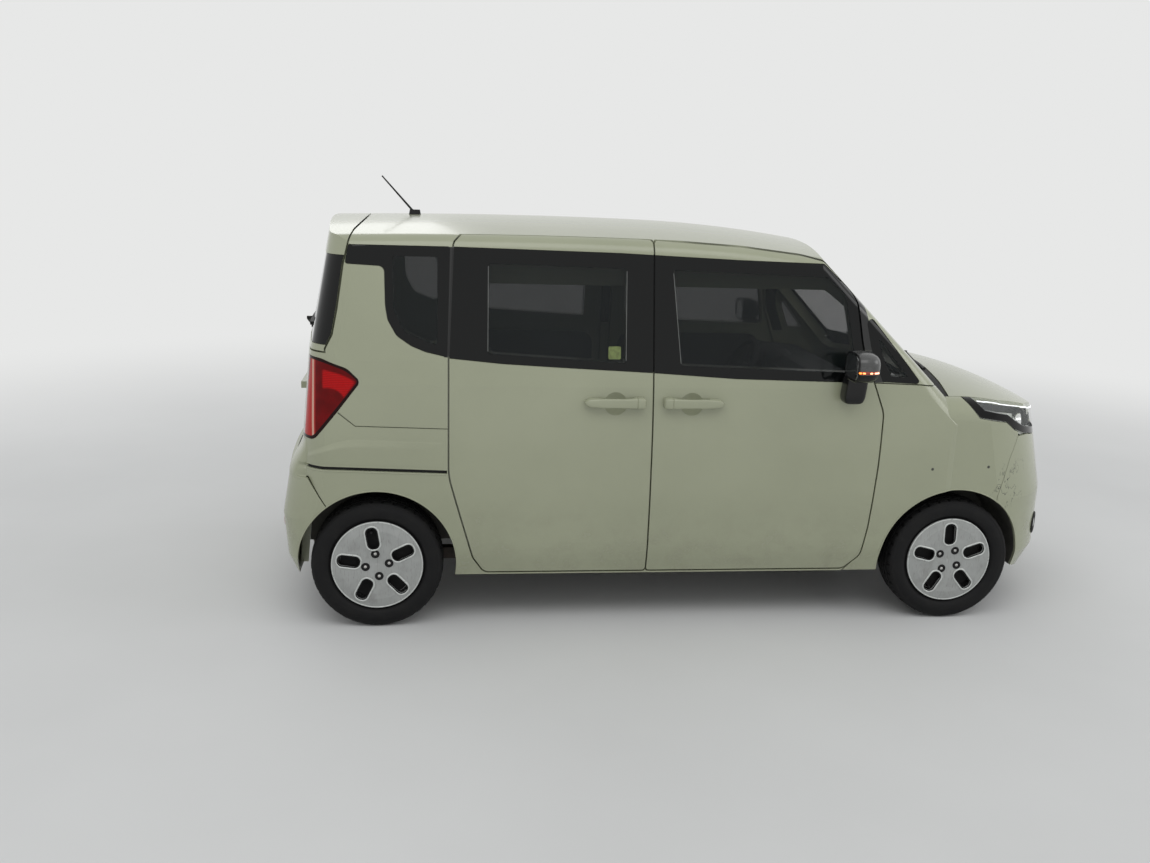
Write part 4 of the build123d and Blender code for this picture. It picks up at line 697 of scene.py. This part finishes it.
# A black disc behind the cover, and black rings behind and round the nut holes: painted shade
hub_shade_disc = turned([(0.068, 0.044), (0.068, 0.048), (0.1555, 0.048), (0.1555, 0.044)], 64, closed=True)
nut_shade_ring = turned([(0.0142, 0), (0.0142, 0.003), (0.0105, 0.003), (0.0105, 0)], 24, closed=True)
nut_hole_shade = turned([(0.0125, 0), (0.0128, 0.0008), (0.0175, 0.0015), (0.019, -0.0006)], 32)
shades = joined(
    hub_shade_disc,
    *[moved(nut_shade_ring, shift(x, y, 0.062)) for x, y in NUT_SPOTS],
    *[moved(nut_hole_shade, shift(x, y, cover_height(NUT_CIRCLE))) for x, y in NUT_SPOTS],
    *slot_shade_bands,
)
for wheel, axle_x, sign in WHEELS:
    spot = at_wheel(axle_x, sign) @ spin(TURN[wheel], "Z")
    body = "wheel_" + wheel
    piece("nuts_" + wheel, moved(nuts, spot), "wheel_silver", "nut_steel", body)
    piece("cover_ribs_" + wheel, moved(cover_detail, spot), "wheel_silver", "painted_highlight_edge", body)
    piece("valve_" + wheel, moved(valve, spot), "tyre", body=body)
    piece("wheel_shade_" + wheel, moved(shades, spot), "tyre", "painted_shade_black", body)

# Rolled lips of the wheel arches
ARCH_RADIUS = 0.3325
QUARTER = "body_shell rear_bumper"
for wheel, axle_x, sign in WHEELS:
    panels = wheel.replace("_", "_fender_") + " front_bumper" if axle_x > 0 else QUARTER
    circle = [polar(ARCH_RADIUS, 6 + 168 * step / 60) for step in range(61)]
    starts = [(axle_x + x, sign * OUTSIDE_Y, WHEEL_Z + z) for x, z in circle]
    lip = swept(*trail(panels, starts, (0, -sign, 0), BODY_EDGE_Y), bead(0.006, 0.0022))
    piece("arch_lip_" + wheel, lip, "body_paint")

# Door mirrors: painted cap over a black base, a row of turn diodes, the glass and a rounded foot
MIRROR_X, MIRROR_Y, MIRROR_Z = 0.62, 0.905, 1.172
MIRROR_SIZE = (0.06, 0.085, 0.064)
FOOT_SIZE, FOOT_Y, FOOT_Z = (0.046, 0.045, 0.066), 0.823, 1.066


def mirror_form(sign):
    """The housing: full towards the front, cut flat towards the rear, slimmer at its outer end."""
    def shape(point):
        x, y, z = point
        outward = max(y * sign, 0) / 0.085
        x = max(x, -0.047) - 0.008 * outward ** 2
        z *= 1 - 0.12 * outward ** 3 - 0.1 * max(x, 0) / 0.06
        return Vector((MIRROR_X + x, sign * MIRROR_Y + y, MIRROR_Z + z))
    return shape


def foot_form(sign):
    """The foot, leaning forward a little as it rises."""
    return lambda v: Vector((MIRROR_X + v.x + 0.006 * v.z / FOOT_SIZE[2], sign * FOOT_Y + v.y, FOOT_Z + v.z))


for side, sign in SIDES:
    body, form = "front_door_" + side, mirror_form(sign)
    piece("mirror_cap_" + side, egg(MIRROR_SIZE, -14, 90, rows=14, shape=form), "gloss_black", "cap_grey", body)
    base = egg((0.0585, 0.0835, 0.0635), -90, -15.5, rows=12, shape=form)
    piece("mirror_base_" + side, base, "gloss_black", body=body)
    pane = prism(rounded(0.14, 0.1, 0.036, 8), 0, 0.0025, 0.001)
    rim = swept([(a, b, 0) for a, b in rounded(0.15, 0.11, 0.04, 8)], UP, bead(0.01, 0.004), True)
    spot = shift(0.5735, sign * MIRROR_Y, MIRROR_Z) @ spin(-90, "Y") @ spin(90, "Z")
    piece("mirror_glass_" + side, moved(pane, spot), "gloss_black", "mirror_glass", body)
    piece("mirror_rim_" + side, moved(rim, spot), "gloss_black", body=body)
    stand = piece("mirror_foot_" + side, egg(FOOT_SIZE, -90, 90, 4.5, 40, 18, foot_form(sign)),
                  "gloss_black", body=body)
    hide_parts("mirror_" + side)
    lamp_path, lamp_ups = [], []
    for step in range(21):
        u = radians(sign * (128 - 76 * step / 20))
        lamp_path.append(form(shell_point(u, radians(-6), MIRROR_SIZE, 3)))
        lamp_ups.append(Vector((cos(u) * 0.6, sin(u), 0)))
    piece("turn_lamp_" + side, swept(lamp_path, lamp_ups, bead(0.013, 0.0022)), "lamp_red", "red_glow", body)
    diode = prism(rounded(0.012, 0.0065, 0.003, 4), 0, 0.0034, 0.0008)
    diodes = [moved(diode, facing(lamp_path[step], lamp_ups[step])) for step in (3, 7, 11, 15, 18)]
    piece("turn_diodes_" + side, joined(*diodes), "lamp_red", "diode_amber", body)

# Lower lip of the sliding door's rail slot
RAIL_FALL = 0.0195
starts = [(-1.664 + 0.58 * step / 24, -OUTSIDE_Y, 0.6985 - RAIL_FALL * step / 24) for step in range(25)]
lip = swept(*trail(QUARTER, starts, (0, 1, 0), BODY_EDGE_Y), bead(0.0045, 0.0022))
piece("rail_lip", lip, "body_paint")

# Corners of the rear bumper, drawn up to the lamps. The last columns blend into the body
CORNER_LOW, CORNER_HIGH = 0.652, 0.815
columns, rows = 16, 12
for side, sign in SIDES:
    centre = Vector((-1.45, sign * 0.55, 0))
    verts = []
    for column in range(columns + 1):
        angle = radians(168 - 33 * column / columns)
        lift = 0.0012 if column < columns else -0.003
        outward = Vector((cos(angle), sign * sin(angle), 0))
        low, _ = on_surface(QUARTER, centre + outward + Vector((0, 0, CORNER_LOW)), -outward)
        for row in range(rows + 1):
            share = row / rows
            z = CORNER_LOW + (CORNER_HIGH - CORNER_LOW) * share
            start = centre + outward + Vector((0, 0, z))
            body_hit, _ = on_surface(QUARTER + " tail_lamp_" + side, start, -outward)
            ease = max(share * share * (3 - 2 * share), (column - columns + 5) / 5)
            verts.append(Vector((low.x, low.y, z)).lerp(body_hit, ease) + outward * lift)
    piece("bumper_corner_" + side, (verts, bands(columns + 1, rows + 1, closed_section=False)), "body_paint")

# Swelling above the rail slot, with a crease that climbs from its rear end and fades towards the door
BROW_RISE, CREASE_AT = 0.0095, 0.7
columns, rows = 40, 16
verts = []
for column in range(columns + 1):
    share = column / columns
    slot_z = 0.7205 - RAIL_FALL * share
    crease_z = slot_z + 0.012 + 0.078 * sin(min(share * 2.4, 1) * pi / 2) ** 0.8
    top_z = crease_z + 0.012 + 0.016 * min(share * 3, 1)
    rise = BROW_RISE * min(share * 9, 1) * (1 - share) ** 1.6
    for row in range(rows + 1):
        step = row / rows
        if step <= CREASE_AT:
            z = slot_z + (crease_z - slot_z) * step / CREASE_AT
            lift = rise * step / CREASE_AT
        else:
            far = (step - CREASE_AT) / (1 - CREASE_AT)
            z = crease_z + (top_z - crease_z) * far
            lift = rise * (1 - far) ** 2
        sunk = 0.001 if column in (0, columns) or row in (0, rows) else -0.0006
        hit, _ = on_surface(QUARTER, (-1.672 + 0.586 * share, -OUTSIDE_Y, z), (0, 1, 0))
        verts.append(hit + Vector((0, sunk - lift, 0)))
piece("rail_brow", (verts, bands(columns + 1, rows + 1, closed_section=False)), "body_paint")

# Inside each head lamp: one projector with its bowl, and a light guide along the top
bowl = turned([(0.004, -0.004), (0.018, 0), (0.03, 0.009), (0.037, 0.021), (0.0395, 0.023), (0.0405, 0.02),
               (0.0385, 0.004), (0.03, -0.008)], 48)
dome = turned([(0.0265, 0.004), (0.0262, 0.01), (0.023, 0.017), (0.016, 0.0225), (0.008, 0.025), (0.0005, 0.0257)], 40)
for side, sign in SIDES:
    lens = "headlamp_lens_" + side
    ahead = Vector((0.93, sign * 0.3, 0.05))
    place, _ = on_surface("headlamp_" + side, (2.1, sign * 0.64, 0.885), (-1, sign * 0.02, 0))
    spot = facing(place + ahead * 0.006, ahead)
    piece("lamp_bowl_low_" + side, moved(bowl, spot), "lamp_housing", "chrome")
    piece("lamp_eye_low_" + side, moved(dome, spot), "lamp_clear", "mirror_glass")

    guide, ups = [], []
    for step in range(30):
        x, y, inward = 1.34 + 0.45 * step / 29, sign * 1.25, (-0.25, -sign, 0)
        tops, _ = trail(lens, [(x, y, 1.06 - 0.002 * drop) for drop in range(120)], inward)
        hit, normal = on_surface(lens, (x, y, tops[0].z - 0.01), inward)
        guide.append(hit + normal * 0.0004)
        ups.append(normal)
    piece("light_guide_" + side, swept(guide, ups, bead(0.006, 0.0012)), "lamp_clear", "diode_white")


# Blank plates, fog lamps, reflectors, high stop lamp, plate lamps
def plate(name, width, height, spot, body):
    """A blank plate with a pressed border and two screws."""
    edge = [(a, b, 0.0016) for a, b in rounded(width - 0.012, height - 0.012, 0.008)]
    shape = joined(prism(rounded(width, height, 0.01, 6), 0, 0.0016, 0.0005),
                   swept(edge, UP, bead(0.0035, 0.0012), True))
    screw = turned([(0.006, 0), (0.006, 0.002), (0.0045, 0.0032), (0.0005, 0.0035)], 18)
    screws = joined(*[moved(screw, shift(x, 0, 0.0014)) for x in (-0.11, 0.11)])
    piece(name, moved(shape, spot), "black_trim", "plate_white", body)
    piece(name + "_screws", moved(screws, spot), "exhaust_steel", "nut_steel", body)


plate("front_plate", 0.52, 0.11, facing((1.7962, 0, 0.485), (1, 0, 0)), "body")
hit, normal = on_surface("tailgate", (-2.2, 0, 0.835), (1, 0, 0))
plate("rear_plate", 0.335, 0.155, facing(hit + normal * 0.0005, normal), "tailgate")
plate_lamp = prism(rounded(0.06, 0.016, 0.006, 4), 0, 0.004, 0.001)
lamps = [moved(plate_lamp, facing((-1.7, y, 0.9268), (0, 0, -1), (1, 0, 0))) for y in (-0.11, 0.11)]
piece("plate_lamps", joined(*lamps), "lamp_clear", "diode_white", "tailgate")
fog_ring = turned([(0.034, -0.004), (0.036, 0.004), (0.044, 0.006), (0.05, 0.004), (0.052, -0.004)], 48, closed=True)
fog_cup = turned([(0.0335, -0.002), (0.0335, 0), (0.025, 0.0035), (0.012, 0.0055), (0.0005, 0.006)], 40)
for side, sign in SIDES:
    spot = facing(*on_surface("front_bumper", (2.2, sign * 0.6, 0.395), (-1, 0, 0)))
    piece("fog_ring_" + side, moved(fog_ring, spot), "black_trim")
    piece("fog_lamp_" + side, moved(fog_cup, spot), "lamp_clear", "mirror_glass")
    strip = clad("rear_bumper", rounded(0.16, 0.035, 0.012, at=(sign * 0.56, 0.43)), BEHIND_X, (1, 0, 0), 0.004)
    piece("reflector_" + side, strip, "lamp_red", "red_glow")
stop = clad("tailgate tailgate_glass", rounded(0.26, 0.016, 0.007, at=(0, 1.585)), BEHIND_X, (1, 0, 0), 0.004)
piece("stop_lamp_high", stop, "lamp_red", "red_glow", "tailgate")

# Upright edges of the door panes' daylight, as the lower and the upper end in X and Z. Their beads are real; their
# lighter grey is painted highlight along the bright edges
PANE_EDGES = {"front": [(-0.112, 1.15, -0.148, 1.515)],
              "rear": [(-0.344, 1.158, -0.344, 1.52), (-0.915, 1.19, -0.915, 1.528)]}
for place, side, sign, body in DOORS:
    node = place + "_door_glass_" + side
    for letter, (x0, z0, x1, z1) in zip("ab", PANE_EDGES[place]):
        starts = [(x0 + (x1 - x0) * k / 8, sign * OUTSIDE_Y, z0 + (z1 - z0) * k / 8) for k in range(9)]
        edge = swept(*trail(node, starts, (0, -sign, 0)), bead(0.0035, 0.0008))
        piece("painted_highlight_frame_" + letter + "_" + node, edge, "black_trim", "painted_highlight_frame", body)

# Skins of the door handles in mm: a square end towards the pillar, a slim grip, and a tapering far end.
# Each row is a ring: its place along the handle, half its height, its near side and its far side
HANDLE_SKIN = [
    (-123, 12, -22, 15), (-121.5, 18, -22, 21), (-117, 22, -22, 26), (-108, 23.5, -22, 28.5), (-89, 23.5, -22, 29),
    (-87.5, 21.5, -22, 27), (-86, 21.5, -22, 27), (-84.5, 23.2, -22, 29), (-77, 22.6, -12, 29), (-68, 21, 6, 28.5),
    (-54, 20, 10.2, 27.5), (-20, 19.2, 10.6, 27.2), (20, 19, 10.6, 27), (54, 19.2, 10.2, 27.2), (68, 19.5, 6, 27.5),
    (78, 19.5, -12, 27.5), (92, 19, -22, 27), (104, 18.4, -22, 26.2), (113, 16.6, -22, 25.6), (121, 12.5, -22, 24.6),
    (128, 8.5, -22, 20), (132, 4, -22, 12),
]
HANDLE_Z, DOOR_Y, RING_POINTS = 990, 797.5, 28
HANDLE_X = {"front": (-61, 1), "rear": (-384, -1)}
for place, side, sign, body in DOORS:
    middle, towards = HANDLE_X[place]
    verts = []
    for along, half, near, far in HANDLE_SKIN:
        for k in range(RING_POINTS):
            c, s = cos(2 * pi * k / RING_POINTS), sin(2 * pi * k / RING_POINTS)
            out = (near + far) / 2 + (far - near) / 2 * bent(c, 0.36)
            up = half * bent(s, 0.42) - 2 * max(0, c) * max(0, s)
            verts.append(Vector((middle + towards * along, sign * (DOOR_Y + out), HANDLE_Z + up)) / 1000)
    skin = verts, capped(len(HANDLE_SKIN), RING_POINTS)
    piece("handle_skin_" + place + "_" + side, skin, "body_paint", body=body, sharp=50)

# A small sticker without print in the rear window
label = clad("rear_door_glass_right", rounded(0.052, 0.052, 0.006, 4, (-0.392, 1.19)), -1, (0, 1, 0), 0.0008)
piece("plain_sticker", label, "dark_glass", "sticker")

# Inner door panels with an arm rest and a pocket
PANEL_X = {"front": (-0.15, 0.64), "rear": (-0.92, -0.29)}
for place, side, sign, body in DOORS:
    mid, wide = sum(PANEL_X[place]) / 2, PANEL_X[place][1] - PANEL_X[place][0]
    node = place + "_door_" + side
    within, outward = sign * 0.2, (0, sign, 0)
    skin = clad(node, rounded(wide, 0.74, 0.07, 6, (mid, 0.69)), within, outward, 0.012, 6)
    piece("door_panel_" + node, skin, "cabin_plastic", body=body)
    rest = egg_at((mid, sign * 0.712, 0.78), (wide * 0.36, 0.03, 0.028), 3.2)
    piece("arm_rest_" + node, rest, "cabin_plastic", "trim_light", body)
    pocket = clad(node, rounded(wide * 0.62, 0.1, 0.04, 6, (mid, 0.46)), within, outward, 0.03, 6)
    piece("door_pocket_" + node, pocket, "cabin_plastic", "trim_light", body)

# Dashboard: instrument hood, blank screen, vents, gear lever, console, inside mirror
hit, _ = on_surface("dashboard", (0.3, 0.345, 1), (1, 0, -0.12))
hood = egg_at(hit + Vector((0.045, 0, 0.03)), (0.085, 0.155, 0.058), 2.6)
piece("instrument_hood", hood, "cabin_plastic")
dial = prism(rounded(0.25, 0.08, 0.036, 6), 0, 0.004, 0.001)
dial_spot = facing(hit + Vector((-0.032, 0, 0.02)), (-1, 0, 0.25))
piece("instrument_glass", moved(dial, dial_spot), "gloss_black", "screen_black")
hit, normal = on_surface("dashboard", (0.2, 0, 0.93), (1, 0, 0))
panel = prism(rounded(0.26, 0.19, 0.02), -0.004, 0.006, 0.002)
piece("centre_panel", moved(panel, facing(hit + Vector((0, 0, -0.03)), normal)), "gloss_black", "trim_light")
screen = prism(rounded(0.17, 0.095, 0.008, 4), 0.006, 0.009, 0.001)
piece("centre_screen", moved(screen, facing(hit, normal)), "gloss_black", "screen_black")
slat = prism(rounded(0.105, 0.007, 0.003, 3), 0, 0.005, 0.001)
vents = []
for y in (-0.56, -0.175, 0.175, 0.56):
    hit, normal = on_surface("dashboard", (0.2, y, 0.93), (1, 0, 0))
    vents += [moved(slat, facing(hit + Vector((0, 0, 0.016 * (row - 1.5))), normal)) for row in range(4)]
piece("air_vents", joined(*vents), "cabin_plastic", "trim_light")
piece("lever_knob", egg_at((0.43, 0.035, 0.76), (0.024, 0.024, 0.036), 2.4), "cabin_plastic")
rod_section = [polar(0.007, 45 * i) for i in range(8)]
lever_path = [(0.43, 0.035, 0.73), (0.455, 0.02, 0.66), (0.5, 0, 0.58), (0.56, 0, 0.5)]
piece("lever_rod", swept(lever_path, (0, 1, 0), rod_section), "iron", "nut_steel")
piece("console", egg_at((0.52, 0, 0.44), (0.2, 0.105, 0.17), 4), "cabin_plastic")
hit, _ = on_surface("windscreen", (0.3, 0, 1.555), (1, 0, 0.12))
piece("inside_mirror", egg_at(hit + Vector((-0.075, 0, -0.045)), (0.02, 0.115, 0.034), 3), "gloss_black")
mirror_stem = [hit, hit + Vector((-0.04, 0, -0.012)), hit + Vector((-0.072, 0, -0.04))]
piece("mirror_stem", swept(mirror_stem, (0, 1, 0), rod_section), "gloss_black")

# Cushions: rounded boxes with crowned faces, pulled-in sides and sewn channels
SEAM_WIDTH, CHANNEL_DEPTH, SIDE_SEAM_DEPTH, SIDE_SEAM = 0.006, 0.01, 0.009, 0.62


def cushion(size, centre, pitch=0, crown=0.012, channels=(), power=4.5, cuts=22):
    """A crowned, closed pad with sunk seams across its top at the given places along X."""
    length, width, height = size
    bm = bmesh.new()
    bmesh.ops.create_cube(bm, size=2)
    bmesh.ops.subdivide_edges(bm, edges=bm.edges[:], cuts=cuts, use_grid_fill=True)
    verts = []
    for vert in bm.verts:
        scale = max(abs(c) for c in vert.co) / sum(abs(c) ** power for c in vert.co) ** (1 / power)
        x, y, z = (c * scale for c in vert.co)
        px, py, pz = x * length / 2, y * width / 2, z * height / 2
        pz += crown * (1 - x * x) * (1 - y * y) * (1 if z > 0 else -0.2) * abs(z)
        px *= 1 - 0.02 * (1 - abs(y) ** 4) * abs(z) ** 2
        if z > 0.3:
            for channel in channels:
                depth = exp(-((px - channel * length / 2) / SEAM_WIDTH) ** 2)
                pz -= CHANNEL_DEPTH * depth * (1 - y * y * 0.6)
            for edge in (-SIDE_SEAM, SIDE_SEAM):
                pz -= SIDE_SEAM_DEPTH * exp(-((py - edge * width / 2) / SEAM_WIDTH) ** 2)
        verts.append((px, py, pz))
    faces = [tuple(v.index for v in face.verts) for face in bm.faces]
    bm.free()
    return moved((verts, faces), Matrix.Translation(centre) @ spin(pitch, "Y"))


def pad(name, shape, *nodes):
    obj = piece(name, shape, "seat_fabric", sharp=60)
    if nodes:
        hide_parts(*nodes)


post = turned([(0.006, 0), (0.006, 0.09)], 12)
for side, sign in SIDES:
    y = sign * 0.345
    pad("seat_cushion_" + side, cushion((0.5, 0.48, 0.125), (0.16, y, 0.395), channels=(-0.35, 0.1, 0.5)),
        "seat_front_" + side)
    pad("seat_back_" + side, cushion((0.66, 0.46, 0.115), (-0.045, y, 0.675), -84, channels=(-0.5, -0.15, 0.25)))
    pad("head_rest_" + side, cushion((0.17, 0.25, 0.095), (-0.098, y, 1.095), -84, 0.01, (), 3.2, 12))
    posts = [moved(post, shift(-0.088, y + offset, 0.975)) for offset in (-0.06, 0.06)]
    piece("head_rest_posts_" + side, joined(*posts), "exhaust_steel", "nut_steel")
pad("rear_cushion", cushion((0.46, 1.12, 0.12), (-0.63, 0, 0.47), 0, 0.014, (0, 0.5)), "seat_rear")
pad("rear_back", cushion((0.57, 1.12, 0.115), (-0.862, 0, 0.715), -79, channels=(-0.4, 0.2)))
for side, sign in SIDES[::-1]:
    pad("rear_head_rest_" + side, cushion((0.13, 0.24, 0.085), (-0.915, sign * 0.33, 1.065), -80, 0.01, (), 3.2, 12))

# Stage: a pale floor that fades into an even pale backdrop, soft lamps, the photograph's viewpoint
BACKDROP = (0.8, 0.805, 0.8)
FLOOR_SIZE, FADE_FROM, FADE_TO = 60, 3.2, 8


def stage_mesh():
    mesh = bpy.data.meshes.new("floor")
    bm = bmesh.new()
    corners = [(FLOOR_SIZE * a, FLOOR_SIZE * b, 0) for a, b in ((-1, -1), (1, -1), (1, 1), (-1, 1))]
    bm.faces.new([bm.verts.new(corner) for corner in corners])
    bm.to_mesh(mesh)
    bm.free()
    look = Look("floor_paint", (0.62, 0.62, 0.61), 0.8)
    cloud = look.noise(0.6)
    look.set("Base Color", look.ramp(cloud, (0.3, (0.61, 0.615, 0.61)), (0.7, (0.65, 0.655, 0.65))))
    far = look.new("VectorMath", {0: look.place}, operation="LENGTH").outputs["Value"]
    fade = look.limited(far, FADE_FROM, FADE_TO)
    fade.node.interpolation_type = "SMOOTHSTEP"
    look.blend(fade, look.shader, look.new("Emission", {"Color": BACKDROP}), "Material Output")
    mesh.materials.append(MATS["floor_paint"])
    linked("floor", mesh)


def studio_world():
    world = bpy.data.worlds.new("studio")
    bpy.context.scene.world = world
    world.use_nodes = True
    look = Graph(world.node_tree, "Background")
    look.set("Color", (0.86, 0.87, 0.88))
    look.set("Strength", 0.8)
    seen = look.new("Background", {"Color": BACKDROP, "Strength": 1})
    rays = look.new("LightPath", {}).outputs
    pale = look.most(*[rays["Is " + kind + " Ray"] for kind in ("Camera", "Transmission", "Glossy")])
    look.blend(pale, look.shader, seen, "World Output")


def area_light(name, place, size, power):
    """A soft lamp turned to the middle of the car."""
    data = bpy.data.lights.new(name, "AREA")
    data.shape = "RECTANGLE"
    data.size, data.size_y = size
    data.energy = power
    obj = linked(name, data)
    obj.location = place
    obj.rotation_euler = (Vector((0, 0, 0.8)) - Vector(place)).to_track_quat("-Z", "Y").to_euler()


stage_mesh()
studio_world()
area_light("key", (-1, -4.5, 6.5), (8, 3.5), 120)
area_light("front", (6.5, -2.5, 4.5), (4, 3), 70)
area_light("back", (-3.5, 6, 5), (6, 3), 70)

# The photograph's camera: angles in radians, focal length in the photograph's pixels
CAMERA_PLACE = (-1.09087, -5.20994, 1.94815)
YAW, PITCH, ROLL, FOCAL = 0.121482, 0.238707, 0.033182, 1104.21
PHOTO_WIDTH, SENSOR_WIDTH = 1150, 36
cam_data = bpy.data.cameras.new("camera")
camera = bpy.context.scene.camera = linked("camera", cam_data)
ahead = Vector((sin(YAW) * cos(PITCH), cos(YAW) * cos(PITCH), -sin(PITCH)))
right = Vector((cos(YAW), -sin(YAW), 0))
up = right.cross(ahead)
axes = Matrix((right * cos(ROLL) + up * sin(ROLL), up * cos(ROLL) - right * sin(ROLL), -ahead))
camera.matrix_world = Matrix.Translation(CAMERA_PLACE) @ axes.transposed().to_4x4()
cam_data.sensor_width = SENSOR_WIDTH
cam_data.lens = FOCAL / PHOTO_WIDTH * SENSOR_WIDTH
cam_data.clip_end = 200
bpy.context.scene.view_settings.view_transform = "Standard"
